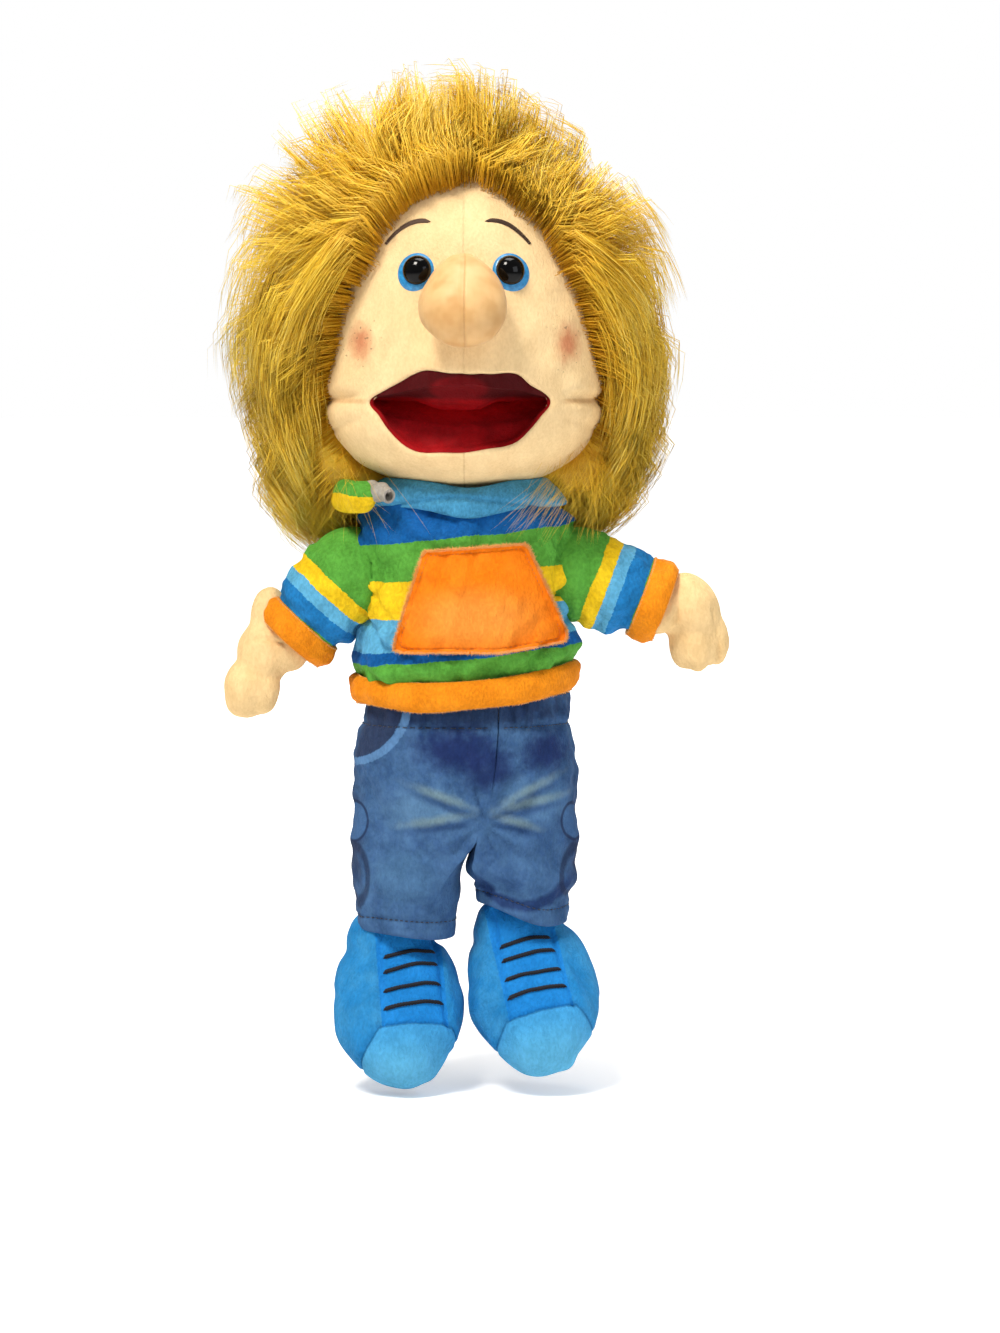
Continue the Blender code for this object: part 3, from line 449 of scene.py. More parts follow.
def strands(name: str, lines: np.ndarray, radii: np.ndarray, tone: np.ndarray) -> bpy.types.Object:
    """Many fibres as thin three-sided tubes that end in a point.

    Args:
        name: the piece's name.
        lines: S by K by 3 points, K along each fibre.
        radii: S by K radii, where the last is taken as zero.
        tone: S values from 0 to 1 that pick each fibre's shade.

    Returns:
        The piece, with the attributes tone and along, and a UV map that holds both.
    """
    count, steps, _ = lines.shape
    ahead = unit(np.gradient(lines, axis=1))
    helper = np.where(np.abs(ahead[..., 2:3]) < 0.9, [[[0, 0, 1.0]]], [[[1.0, 0, 0]]])
    first = unit(np.cross(ahead, helper))
    second = np.cross(ahead, first)
    rings = []
    for k in range(3):
        turn = 2 * math.pi * k / 3
        rings.append(lines + (first * math.cos(turn) + second * math.sin(turn)) * radii[..., None])
    rings = np.stack(rings, axis=2)  # fibre, step, corner
    body = rings[:, :-1].reshape(count, -1, 3)
    co = np.concatenate([body, lines[:, -1:]], axis=1)
    per = co.shape[1]
    quads, tips = [], []
    for step in range(steps - 2):
        for k in range(3):
            a, b = step * 3 + k, step * 3 + (k + 1) % 3
            quads.append((a, b, b + 3, a + 3))
    last = (steps - 2) * 3
    for k in range(3):
        tips.append((last + k, last + (k + 1) % 3, per - 1))
    tips.append((2, 1, 0))
    starts = (np.arange(count) * per)[:, None, None]
    quad_corners = (np.array(quads)[None] + starts).reshape(count, -1)
    tip_corners = (np.array(tips)[None] + starts).reshape(count, -1)
    corners = np.concatenate([quad_corners, tip_corners], axis=1).ravel()
    sizes = np.tile([4] * len(quads) + [3] * len(tips), count)
    mesh = bpy.data.meshes.new(name)
    mesh.vertices.add(count * per)
    mesh.vertices.foreach_set("co", co.astype(np.float32).ravel())
    mesh.loops.add(len(corners))
    mesh.loops.foreach_set("vertex_index", corners.astype(np.int32))
    mesh.polygons.add(len(sizes))
    mesh.polygons.foreach_set("loop_start", np.concatenate([[0], np.cumsum(sizes)[:-1]]).astype(np.int32))
    mesh.polygons.foreach_set("loop_total", sizes.astype(np.int32))
    along = np.concatenate([np.repeat(np.linspace(0, 1, steps)[:-1], 3), [1.0]])
    along_all = np.tile(along, count)
    tone_all = np.repeat(tone, per)
    for label, values in (("tone", tone_all), ("along", along_all)):
        mesh.attributes.new(label, "FLOAT", "POINT").data.foreach_set("value", values.astype(np.float32))
    width = np.tile(np.concatenate([np.tile([-0.004, 0.0, 0.004], steps - 1), [0.0]]), count)
    uv = np.stack([0.01 + 0.98 * np.clip(tone_all + width, 0, 1), 0.01 + 0.98 * along_all], axis=1)[corners]
    mesh.uv_layers.new(name="OFBake").data.foreach_set("uv", uv.astype(np.float32).ravel())
    mesh.update(calc_edges=True)
    mesh.validate()
    mesh.shade_smooth()
    piece = bpy.data.objects.new(name, mesh)
    bpy.context.scene.collection.objects.link(piece)
    return piece


# ---------------------------------------------------------------- head


@dataclass(frozen=True)
class HeadShape:
    """The head as rays from a point level with the mouth: an angle round the face and a reach outwards."""

    half_width: float = 0.0615
    half_depth: float = 0.0522
    middle_y: float = -0.002 + AXIS_Y
    level: float = 0.1345
    crown: float = 0.1030
    chin: float = 0.0400

    def edge(self, angle: np.ndarray) -> np.ndarray:
        """How far the silhouette is in each direction, seen from the front."""
        c, s = np.cos(angle), np.sin(angle)
        up = (np.abs(c / self.half_width) ** 2.25 + np.abs(s / self.crown) ** 2.25) ** (-1 / 2.25)
        down = (np.abs(c / self.half_width) ** 2.1 + np.abs(s / self.chin) ** 2.1) ** (-1 / 2.1)
        return np.where(s > 0, up, down)

    def skin(self, angle: np.ndarray, turn: np.ndarray, lift: float | np.ndarray = 0.0) -> np.ndarray:
        """Points on the head.

        Args:
            angle: the direction round the face, 0 towards +X and a quarter turn upwards.
            turn: 0 at the front, a quarter turn at the silhouette, and more behind it.
            lift: how far outside the skin.

        Returns:
            N by 3 places.
        """
        power = 2 + 0.3 * np.clip(np.sin(angle), 0, 1) ** 2
        rho = np.abs(np.sin(turn)) ** (2 / power)
        deep = np.sign(np.cos(turn)) * np.abs(np.cos(turn)) ** (2 / power)
        reach = (self.edge(angle) + lift) * rho
        return np.stack(
            [
                reach * np.cos(angle),
                self.middle_y - (self.half_depth + lift) * deep,
                self.level + reach * np.sin(angle),
            ],
            axis=-1,
        )

    def over(self, x: float | np.ndarray, z: float | np.ndarray, lift: float = 0.0) -> np.ndarray:
        """The point of the front of the head at x and z."""
        x, z = np.broadcast_arrays(np.asarray(x, float), np.asarray(z, float))
        angle = np.arctan2(z - self.level, x)
        power = 2 + 0.3 * np.clip(np.sin(angle), 0, 1) ** 2
        rho = np.clip(np.hypot(x, z - self.level) / (self.edge(angle) + lift), 0, 0.999)
        deep = (1 - rho**power) ** (1 / power)
        return np.stack([x, self.middle_y - (self.half_depth + lift) * deep, z], axis=-1)

    def facing(self, x: float, z: float) -> np.ndarray:
        """The outward normal of the front of the head at x and z."""
        e = 5e-4
        here = self.over(x, z)
        normal = np.cross(self.over(x + e, z) - here, self.over(x, z + e) - here)
        return unit(normal if normal[1] < 0 else -normal)


HEAD = HeadShape()


def velour(name: str, base: Any, **settings: Any) -> bpy.types.Material:
    """Knitted velour with nothing printed on it."""
    made = Finish(name)
    return pile_finish(made, colour(base), **settings)


def face_velour() -> bpy.types.Material:
    """Cream knitted velour: a matt peach-fuzz skin with brushed rouge on the cheeks and one sewn centre seam."""
    made = Finish("skin_velour")
    x, _, z = made.axes()
    # A warmer tone in broad random patches, where the cloth is stretched and handled.
    wear = made.ease(made.noise(26 * MM, 2.0), 0.35, 0.7)
    tone = made.mix(made.sum("MULTIPLY", wear, 0.22), colour("FADAA4"), colour("EBC086"))
    # Rouge: powder rubbed on, so its edge is soft and broken by the pile.
    for side in (1, -1):
        away = made.near((side * 0.0450, -0.078, 0.1590), (0.85, 2.0, 1.25))
        broken = made.sum("ADD", away, made.sum("MULTIPLY", made.noise(4 * MM, 3.0), 0.006))
        rouge = made.sum("MULTIPLY", made.ease(broken, 0.0035, 0.0135, 1.0, 0.0), 0.90)
        tone = made.mix(rouge, tone, colour("CC7A54"))
        # A few loose dark hairs caught in the pile beside the rouge.
        speck = made.ease(made.noise(1.5 * MM, 0.0), 0.765, 0.79)
        close = made.ease(away, 0.008, 0.015, 1.0, 0.0)
        tone = made.mix(made.sum("MULTIPLY", made.sum("MULTIPLY", speck, close), 0.55), tone, colour("6B5138"))
    inside, dip = seam_lines(made, x, z, 0.55 * MM)
    # The cloth is shaded in the fold that runs from each corner of the mouth to the side.
    off_fold = made.sum("ABSOLUTE", made.sum("SUBTRACT", z, HEAD.level - 0.0003), 0.0)
    fold = made.ease(off_fold, 0.0003, 0.0016, 1.0, 0.0)
    aside = made.ease(made.sum("ABSOLUTE", x, 0.0), 0.040, 0.045)
    tone = made.mix(made.sum("MULTIPLY", made.sum("MULTIPLY", fold, aside), 0.40), tone, colour("B9824C"))
    strong = made.ease(z, 0.150, 0.125, 0.12, 0.30)
    tone = made.mix(made.sum("MULTIPLY", inside, strong), tone, colour("B98A55"))
    dip = made.sum("MULTIPLY", dip, 0.5)
    return pile_finish(made, tone, 0.5 * MM, 7 * MM, 0.13, 0.16 * MM, dip, 0.12)


def nose_jersey() -> bpy.types.Material:
    """Nylon jersey: smoother and a shade darker than the face, with fine ribs and a sewn middle seam."""
    made = Finish("nose_jersey")
    x, _, z = made.axes()
    ribs = made.wave(x, 0.75 * MM)
    blotch = made.ease(made.noise(11 * MM, 2.0), 0.3, 0.7)
    tone = made.mix(blotch, colour("CC9C60"), colour("DEB47A"))
    inside, dip = seam_lines(made, made.sum("SUBTRACT", x, 0.0006), z, 0.6 * MM)
    tone = made.mix(made.sum("MULTIPLY", inside, 0.25), tone, colour("A87A48"))
    height = made.sum("ADD", made.sum("MULTIPLY", ribs, 0.16), made.sum("MULTIPLY", dip, 0.8))
    height = made.sum("ADD", height, made.sum("MULTIPLY", made.noise(0.6 * MM), 0.9))
    return made.finish(
        tone, made.ease(blotch, 0, 1, 0.62, 0.5), height, 0.10 * MM, Sheen_Weight=0.08, Sheen_Roughness=0.5,
        Specular_IOR_Level=0.35, Subsurface_Weight=0.08, Subsurface_Radius=(0.004, 0.002, 0.001),
    )


def mouth_velour() -> bpy.types.Material:
    """Deep red velour: it drinks light, with only a faint nap where it turns towards the front."""
    made = Finish("mouth_velour")
    nap = made.ease(made.noise(8 * MM, 3.0), 0.3, 0.7)
    tone = made.mix(nap, colour("8A040C"), colour("A60710"))
    # Painted light: deep in the fold, where the mouth lies in shadow, the cloth is coloured brighter and more vivid.
    deep = made.ease(made.axes()[1], -0.074, -0.058)
    tone = made.mix(deep, tone, colour("D8101C"))
    # Painted shade: the roof of the mouth, which faces down, is coloured darker, with a painted highlight on the
    # finger pad's swelling.
    _, y, z = made.axes()
    roof = made.ease(z, 0.1335, 0.1365)
    pad = made.ease(made.near((-0.0020, -0.075, 0.1400), (0.0140, 0.05, 0.0060)), 0.75, 1.05, 1.0, 0.0)
    roof_shade = made.mix(deep, colour("4A0206"), colour("7A040B"))
    # The pad's paler tone is a painted highlight where its swelling meets the light.
    pressed = made.mix(deep, colour("6A030A"), colour("A8060F"))
    above = made.mix(pad, roof_shade, pressed)
    tone = made.mix(roof, tone, above)
    return pile_finish(made, tone, 0.5 * MM, 6 * MM, 0.14, 0.16 * MM, None, 0.0)


class Face:
    """The skin with its mouth, the lining inside the mouth, the nose, the eyes and the brows."""

    @dataclass(frozen=True)
    class Size:
        """Driving sizes of the face."""

        mouth_half: float = 0.0398
        mouth_up: float = 0.0128
        mouth_down: float = 0.0218
        lip: float = 0.0026
        rear_turn: float = math.radians(128)
        crease_depth: float = 0.0024
        hinge_y: float = -0.010 + AXIS_Y
        rise: float = math.radians(12.0)
        drop: float = math.radians(28.0)
        eye_x: float = 0.0204
        eye_z: float = 0.1893
        iris: float = 0.0083
        pupil: float = 0.0063

    def __init__(self, size: Size = Size()) -> None:
        """Keeps the sizes."""
        self.size = size

    def mouth_reach(self, angle: np.ndarray) -> np.ndarray:
        """How far the mouth's edge is from its middle in each direction."""
        stops = [
            (-12, 33.7), (0, 37.2), (12.7, 29.6), (26.8, 25.3), (39.8, 17.9), (58.7, 13.5),
            (94, 11.6), (129, 15.8), (144, 21.6), (154, 24.7), (165, 29.0), (172.5, 34.0),
            (180, 40.4), (189.6, 37.3), (201, 34.8), (225, 30.4), (246, 24.4), (271, 22.2),
            (296, 23.0), (323, 29.0), (337, 31.2), (348, 33.7), (360, 37.2), (372.7, 29.6),
        ]
        return through(stops, np.degrees(angle) % 360)[:, 0] * MM

    def rim(self, angle: np.ndarray, roll: np.ndarray, grow: float = 1.0) -> np.ndarray:
        """Points on the rolled lip.

        Args:
            angle: the direction round the mouth.
            roll: 0 where the lip leaves the face, and pi behind it.
            grow: 1 on the skin itself, more for a cloth that lies over it.

        Returns:
            N by 3 places.
        """
        reach = self.mouth_reach(angle) + self.size.lip
        power = 2 + 0.3 * np.clip(np.sin(angle), 0, 1) ** 2
        start = np.arcsin(np.clip((reach / HEAD.edge(angle)) ** (power / 2), 0, 1))
        on_skin = HEAD.skin(angle, start)
        ahead = unit(HEAD.skin(angle, start + 0.02) - on_skin)
        around = unit(HEAD.skin(angle + 0.02, start) - on_skin)
        out = np.cross(around, ahead)
        out = np.where(out[..., 1:2] > 0, -out, out)
        middle = on_skin - out * self.size.lip
        return middle + self.size.lip * grow * (
            out * np.cos(roll)[..., None] - ahead * np.sin(roll)[..., None]
        )

    def skin(self) -> bpy.types.Object:
        """The face and chin cover as one cloth that folds at the mouth's corners."""
        size = self.size

        def place(u: np.ndarray, v: np.ndarray) -> np.ndarray:
            angle = u * 2 * math.pi
            power = 2 + 0.3 * np.clip(np.sin(angle), 0, 1) ** 2
            reach = self.mouth_reach(angle) + size.lip
            start = np.arcsin(np.clip((reach / HEAD.edge(angle)) ** (power / 2), 0, 1))
            rear = np.where(np.sin(angle) < 0, size.rear_turn - 0.30 * np.abs(np.sin(angle)), size.rear_turn)
            rolled = self.rim(angle, (1 - v / 0.12) * math.radians(165))
            t = np.clip((v - 0.12) / 0.88, 0, 1)
            turn = start + (rear - start) * (0.75 * t + 0.25 * t * t)
            outside = HEAD.skin(angle, turn)
            co = np.where((v < 0.12)[:, None], rolled, outside)
            out = unit(co - np.array([0, HEAD.middle_y, HEAD.level]))
            # Stuffing is never even, and the fold at the corner of the mouth pulls a crease to the side.
            soft = smooth(0.12, 0.3, v)
            lumps = wobble(co, 0.034, 5) * 0.0007 * soft
            beyond = smooth(size.mouth_half * 0.97, size.mouth_half + 0.006, np.abs(co[:, 0]))
            fold = co[:, 2] - HEAD.level - 0.0012 * np.sin(np.abs(co[:, 0]) * 160)
            beside = bell(fold - 0.006, 0.005) + bell(fold + 0.006, 0.005)
            crease = -size.crease_depth * bell(fold, 0.0022) + 0.0007 * beside
            crease += -0.0007 * bell(co[:, 2] - HEAD.level + 0.0075 + (np.abs(co[:, 0]) - 0.045) * 0.5, 0.0016)
            co = co + out * (lumps + crease * beyond * soft)[:, None]
            # The cheek above the fold sags over it, and a crease runs from the nose's wing to the corner.
            x, z = np.abs(co[:, 0]), co[:, 2]
            cheek = bell(x - 0.030 - (0.160 - z) * 0.35, 0.0024) * smooth(0.146, 0.152, z) * smooth(0.170, 0.160, z)
            co = co - out * (0.00045 * cheek * (co[:, 1] < HEAD.middle_y) * soft)[:, None]
            return co

        piece = surface("face_skin", 240, 104, place)
        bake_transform(piece)
        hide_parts("face_panel_left", "face_panel_right", "chin_panel_left", "chin_panel_right")
        return dress(piece, face_velour(), "skin")

    def lining(self) -> bpy.types.Object:
        """The mouth's red lining, folded along the hinge line."""
        size = self.size

        def place(u: np.ndarray, v: np.ndarray) -> np.ndarray:
            angle = u * 2 * math.pi
            # Below, the first rows go round the lip's roll. Above, they stand up in front of the board.
            lower = smooth(0.12, -0.12, np.sin(angle))
            outer = self.rim(angle, np.radians(62 + 88 * lower * np.clip(v / 0.12, 0, 1)), 1.10)
            upper = np.sin(angle) > 0
            none = np.zeros_like(angle)
            inner = np.stack([0.0405 * np.cos(angle), none + (size.hinge_y - 0.0006), none + HEAD.level], axis=-1)
            share = np.clip((v - 0.12) / 0.88, 0, 1)
            co = outer * (1 - share)[:, None] + inner * share[:, None]
            ahead = np.clip(size.hinge_y - co[:, 1], 0, 1)
            roof = HEAD.level + ahead * math.tan(size.rise) - 0.0018
            floor = HEAD.level - ahead * math.tan(size.drop) + 0.0018
            side = np.abs(np.sin(angle)) ** 0.4
            plane = HEAD.level + (np.where(upper, roof, floor) - HEAD.level) * side
            settled = smooth(0.0, 0.10, v) * (1 - lower) + smooth(0.10, 0.34, v) * lower
            z = plane + (outer[:, 2] - plane) * (1 - settled)
            # The pad that the fingers press down shows as a soft swelling in the middle of the palate.
            across = co[:, 0] + 0.002
            swell = 0.0052 * (1 / (1 + (np.abs(across) / 0.0145) ** 6)) * smooth(0.20, 0.48, v) * smooth(1.0, 0.76, v)
            z = np.where(upper, z - swell, z)
            crumple = 0.0004 * wobble(co, 0.018, 12) * smooth(0.0, 0.2, v)
            co[:, 2] = z + crumple
            return co

        piece = surface("mouth_lining", 240, 56, place, outward=False)
        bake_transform(piece)
        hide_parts("palate_lining", "jaw_lining")
        return dress(piece, mouth_velour(), "mouth_red")

    def nose(self) -> bpy.types.Object:
        """An egg of jersey, stuffed tight, with its broad end down."""
        low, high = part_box("nose")
        middle = np.array((low + high) / 2)
        half = np.array((high - low) / 2)

        def place(u: np.ndarray, v: np.ndarray) -> np.ndarray:
            angle, rise = u * 2 * math.pi, (v - 0.5) * math.pi
            flat = np.cos(rise)
            # Narrower and further back at the top, like an egg stood on its broad end.
            height = np.sin(rise)
            shape = 1 - 0.20 * height - 0.05 * height**2
            x = np.cos(angle) * flat * half[0] * shape * 1.06
            y = np.sin(angle) * flat * half[1] * shape * 1.02 + height * 0.0052
            co = np.stack([x, y, height * half[2] * 1.0], axis=-1) + middle
            co[:, 2] -= 0.0008
            seam = bell(x, 0.0009) * (np.sin(angle) < 0) * smooth(0.0, 0.4, flat)
            out = unit(co - middle)
            return co - out * (0.0005 * seam)[:, None] + out * (wobble(co, 0.022, 31) * 0.0004)[:, None]

        piece = surface("nose_egg", 128, 72, place)
        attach(piece, "head")
        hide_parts("nose")
        return dress(piece, nose_jersey(), "nose_skin")

    def eye(self, side: Side) -> None:
        """A blue felt-edged disc under a glossy black dome."""
        size = self.size
        x = side.value * size.eye_x
        out = HEAD.facing(x, size.eye_z)
        across = unit(np.cross([0, 0, 1.0], out))
        upward = np.cross(out, across)
        centre = HEAD.over(x, size.eye_z)

        def ring(radius: float, height: float, dome: float, tall: float) -> Callable:
            def place(u: np.ndarray, v: np.ndarray) -> np.ndarray:
                turn, rise = u * 2 * math.pi, v * math.pi / 2
                r = radius * np.cos(rise)
                flat = across * (r * np.cos(turn))[:, None] + upward * (r * tall * np.sin(turn))[:, None]
                return centre + flat + out * (height + dome * np.sin(rise))[:, None]

            return place

        dome_at = centre - across * (0.0007 * side.value) + upward * 0.0006

        def pupil(u: np.ndarray, v: np.ndarray) -> np.ndarray:
            return ring(size.pupil, 0.0007, 0.0050, 1.03)(u, v) + (dome_at - centre)

        disc = surface("eye_disc_" + side.word, 64, 16, ring(size.iris, -0.0010, 0.0029, 1.06))
        dome = surface("eye_dome_" + side.word, 64, 24, pupil)
        for piece, node, finish, slot in (
            (disc, "iris_" + side.word, enamel(), "iris_blue"),
            (dome, "eye_" + side.word, glass_black(), "pupil"),
        ):
            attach(piece, "head")
            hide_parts(node)
            dress(piece, finish, slot)

    def brow(self, side: Side) -> bpy.types.Object:
        """An eyebrow of satin stitch, each thread laid across the arch."""
        rng = np.random.default_rng(40 + side.value)
        count = 150
        t = np.linspace(0, 1, count) + rng.normal(0, 0.002, count)
        x = 0.0122 + 0.0188 * t
        z = 0.2112 + 0.0012 * np.sin(t * math.pi * 0.8) - 0.0104 * t**2.0
        half = 0.00088 * np.clip(1.15 - t, 0.12, 1) ** 0.7 * smooth(-0.05, 0.08, t) + 0.00012
        lines = []
        for k, along in enumerate(np.linspace(-1, 1, 5)):
            px = x + 0.0006 * along
            pz = z + half * along
            lines.append(HEAD.over(side.value * px - 0.0026, pz, 0.00015 + 0.00035 * (1 - along**2)))
        threads = np.stack(lines, axis=1)
        radii = np.full((count, 5), 0.00017)
        piece = strands("brow_thread_" + side.word, threads, radii, rng.uniform(0, 1, count))
        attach(piece, "head")
        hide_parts("brow_" + side.word)
        return dress(piece, thread("brow_thread", "54422F", "7B664C"), "brow_thread")

    def build(self) -> None:
        """Makes every piece of the face."""
        self.skin()
        self.lining()
        self.nose()
        for side in Side:
            self.eye(side)
            self.brow(side)


def enamel() -> bpy.types.Material:
    """Moulded plastic, sky blue with faint lighter and darker flow marks, with a soft gloss."""
    if "iris_plastic" in bpy.data.materials:
        return bpy.data.materials["iris_plastic"]
    made = Finish("iris_plastic")
    flow = made.noise(1.6 * MM, 2.0)
    tone = made.mix(made.ease(flow, 0.3, 0.7), colour("1478B8"), colour("2C97D6"))
    gloss = made.ease(flow, 0.2, 0.8, 0.3, 0.42)
    return made.finish(tone, gloss, flow, 0.05 * MM, Coat_Weight=0.35, Coat_Roughness=0.15)


def glass_black() -> bpy.types.Material:
    """Polished black plastic: nearly a mirror, with faint rubbing."""
    if "pupil_plastic" in bpy.data.materials:
        return bpy.data.materials["pupil_plastic"]
    made = Finish("pupil_plastic")
    rub = made.noise(3 * MM, 4.0)
    tone = made.mix(rub, colour("020202"), colour("060607"))
    return made.finish(tone, made.ease(rub, 0.3, 0.8, 0.06, 0.12), rub, 0.004 * MM, Specular_IOR_Level=0.22)


def thread(name: str, dark: str, light: str) -> bpy.types.Material:
    """Embroidery thread: each strand a slightly different shade, with a silky streak along it."""
    if name in bpy.data.materials:
        return bpy.data.materials[name]
    made = Finish(name)
    tone = made.add("Attribute", attribute_name="tone").outputs["Fac"]
    shade = made.mix(tone, colour(dark), colour(light))
    twist = made.noise(0.25 * MM, 1.0)
    gloss = made.ease(twist, 0.3, 0.7, 0.42, 0.6)
    return made.finish(shade, gloss, twist, 0.05 * MM, Sheen_Weight=0.2, Specular_IOR_Level=0.5)


# ---------------------------------------------------------------- fur


def fur_finish(name: str, follow: bool) -> bpy.types.Material:
    """Long-pile acrylic fur: golden, darker at the roots and paler at the ends, silky along each lock.

    Args:
        name: the material's name.
        follow: True where the piece has the strands' own attributes.

    Returns:
        The material.
    """
    made = Finish(name)
    if follow:
        tone = made.add("Attribute", attribute_name="tone").outputs["Fac"]
        along = made.add("Attribute", attribute_name="along").outputs["Fac"]
    else:
        tone = made.noise(3.0 * MM, 4.0, (1, 1, 3.2))
        along = made.ease(made.noise(9 * MM, 3.0, (1, 1, 2.2)), 0.25, 0.75, 0.0, 0.55)
    dyes = (
        [(0.0, "C89214"), (0.5, "DCA41A"), (1.0, "EAB826")],
        [(0.0, "DCAE24"), (0.45, "EFC634"), (1.0, "FBDC58")],
        [(0.0, "F0C236"), (0.5, "FFDC50"), (1.0, "FFF090")],
    )
    root, middle, end = (made.add("ValToRGB", {"Fac": tone}, stops=dye).outputs["Color"] for dye in dyes)
    shade = made.mix(made.ease(along, 0.02, 0.42), root, middle)
    shade = made.mix(made.ease(along, 0.45, 1.0), shade, end)
    if not follow:
        # Painted shade: near the neck, under the mane, the mass is coloured darker.
        _, _, z = made.axes()
        shade = made.mix(made.ease(z, 0.125, 0.095, 0.0, 0.75), shade, colour("A87510"))
    kink = made.noise(0.8 * MM if follow else 2.2 * MM, 2.0)
    return made.finish(
        shade, made.ease(kink, 0.3, 0.7, 0.42, 0.6), kink, (0.02 if follow else 0.9) * MM,
        Specular_IOR_Level=0.3,
    )


class Wig:
    """A mane of long pile: a combed body of fur with locks and loose hairs over it."""

    @dataclass(frozen=True)
    class Size:
        """Driving sizes of the wig."""

        middle: tuple = (0.0, -0.0215, 0.1640)
        depth: float = 0.0700
        flat_y: float = 0.0450
        locks: int = 2300
        per_lock: int = 17
        steps: int = 6
        seed: int = 11

    def __init__(self, size: Size = Size()) -> None:
        """Keeps the sizes."""
        self.size = size
        self.rng = np.random.default_rng(size.seed)

    def outline(self, angle: np.ndarray) -> np.ndarray:
        """How far the ends of the pile reach in each direction, seen from the front."""
        degrees = np.degrees(angle) % 360
        stops = [
            (0, 0.0900), (20, 0.0880), (40, 0.0930), (60, 0.0960), (80, 0.1080), (100, 0.1130), (120, 0.1150),
            (145, 0.1130), (165, 0.1040), (185, 0.1020), (205, 0.1060), (222, 0.1130), (236, 0.1050), (252, 0.086),
            (270, 0.0760), (288, 0.0840), (304, 0.1000), (318, 0.1040), (332, 0.0990), (346, 0.0930), (360, 0.0900),
        ]
        return through(stops, degrees)[:, 0]

    def hairline(self, angle: np.ndarray) -> np.ndarray:
        """How far round the head the pile starts in each direction, as a turn from the front."""
        degrees = np.degrees(angle) % 360
        stops = [
            (0, 1.37), (25, 1.16), (45, 1.03), (60, 0.95), (75, 0.985), (90, 1.03), (105, 0.985), (120, 0.95),
            (135, 1.03), (155, 1.16), (180, 1.37), (200, 1.52), (225, 1.78), (250, 2.1), (270, 2.25), (290, 2.1),
            (315, 1.78), (340, 1.52), (360, 1.37),
        ]
        return through(stops, degrees)[:, 0]

    def flow(self, root: np.ndarray, out: np.ndarray) -> np.ndarray:
        """The way the pile is combed at each root: away from the face, and down at the sides."""
        middle = np.array(self.size.middle)
        away = root - middle
        away[:, 1] *= 0.55
        away = unit(away)
        side = np.clip(np.abs(root[:, 0]) / 0.055, 0, 1)
        low = smooth(0.205, 0.125, root[:, 2])
        fall = np.stack([0.0 * side, 0.0 * side, -(0.10 + 0.85 * low) * side], axis=-1)
        back = np.stack([0 * side, 0.35 * smooth(0.0, 0.04, root[:, 1]), 0 * side], axis=-1)
        rise = np.stack([0 * side, 0 * side, 0.55 * smooth(0.19, 0.235, root[:, 2])], axis=-1)
        return unit(0.55 * away + 0.35 * out + fall + back + rise)

    def root_at(self, angle: np.ndarray, turn: np.ndarray, lift: float = 0.0012) -> tuple[np.ndarray, np.ndarray]:
        """A place on the wig's backing and the way out from it."""
        root = HEAD.skin(angle, turn, lift)
        middle = np.array([0, HEAD.middle_y, HEAD.level + 0.012])
        out = unit((root - middle) / np.array([HEAD.half_width, HEAD.half_depth, 0.085]) ** 2)
        return root, out

    def limit(self, co: np.ndarray) -> np.ndarray:
        """How far out a point is, where 1 is the mane's outline."""
        middle = np.array(self.size.middle)
        away = co - middle
        angle = np.arctan2(away[..., 2], away[..., 0])
        reach = self.outline(angle.ravel()).reshape(angle.shape)
        across = np.hypot(away[..., 0], away[..., 2]) / reach
        front = np.where(away[..., 1] < 0, 0.062, self.size.depth)
        return np.sqrt(across**2 + (away[..., 1] / front) ** 2 * 0.92)

    def body(self) -> bpy.types.Object:
        """The mass of fur under the locks, with combed furrows."""
        middle = np.array(self.size.middle)

        def place(u: np.ndarray, v: np.ndarray) -> np.ndarray:
            angle = u * 2 * math.pi
            reach = self.outline(angle) * (0.87 - 0.07 * smooth(0.2, 0.9, np.sin(angle)))
            start = self.hairline(angle)
            root, _ = self.root_at(angle, start + 0.05, -0.0015)
            t = np.clip(v, 0, 1)
            turn = 0.62 + (math.pi - 0.62) * t
            r = reach * np.sin(turn) ** 0.8
            y = middle[1] - np.where(np.cos(turn) > 0, 0.046, self.size.depth * 0.84) * np.cos(turn)
            mass = np.stack([middle[0] + r * np.cos(angle), y, middle[2] + r * np.sin(angle)], axis=-1)
            ease = smooth(0.0, 0.16, t)[:, None]
            co = root * (1 - ease) + mass * ease
            out = unit(co - middle)
            comb = np.sin(angle * 46 + 5 * wobble(co, 0.05, 3)) * 0.0016 * np.sin(turn) ** 2
            lumps = wobble(co, 0.030, 9) * 0.0035
            return co + out * ((comb + lumps) * smooth(0.05, 0.25, t))[:, None]

        piece = surface("wig_body", 288, 96, place, weld=1e-5)
        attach(piece, "head")
        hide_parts("wig")
        return dress(piece, fur_finish("fur_body", False), "fur")

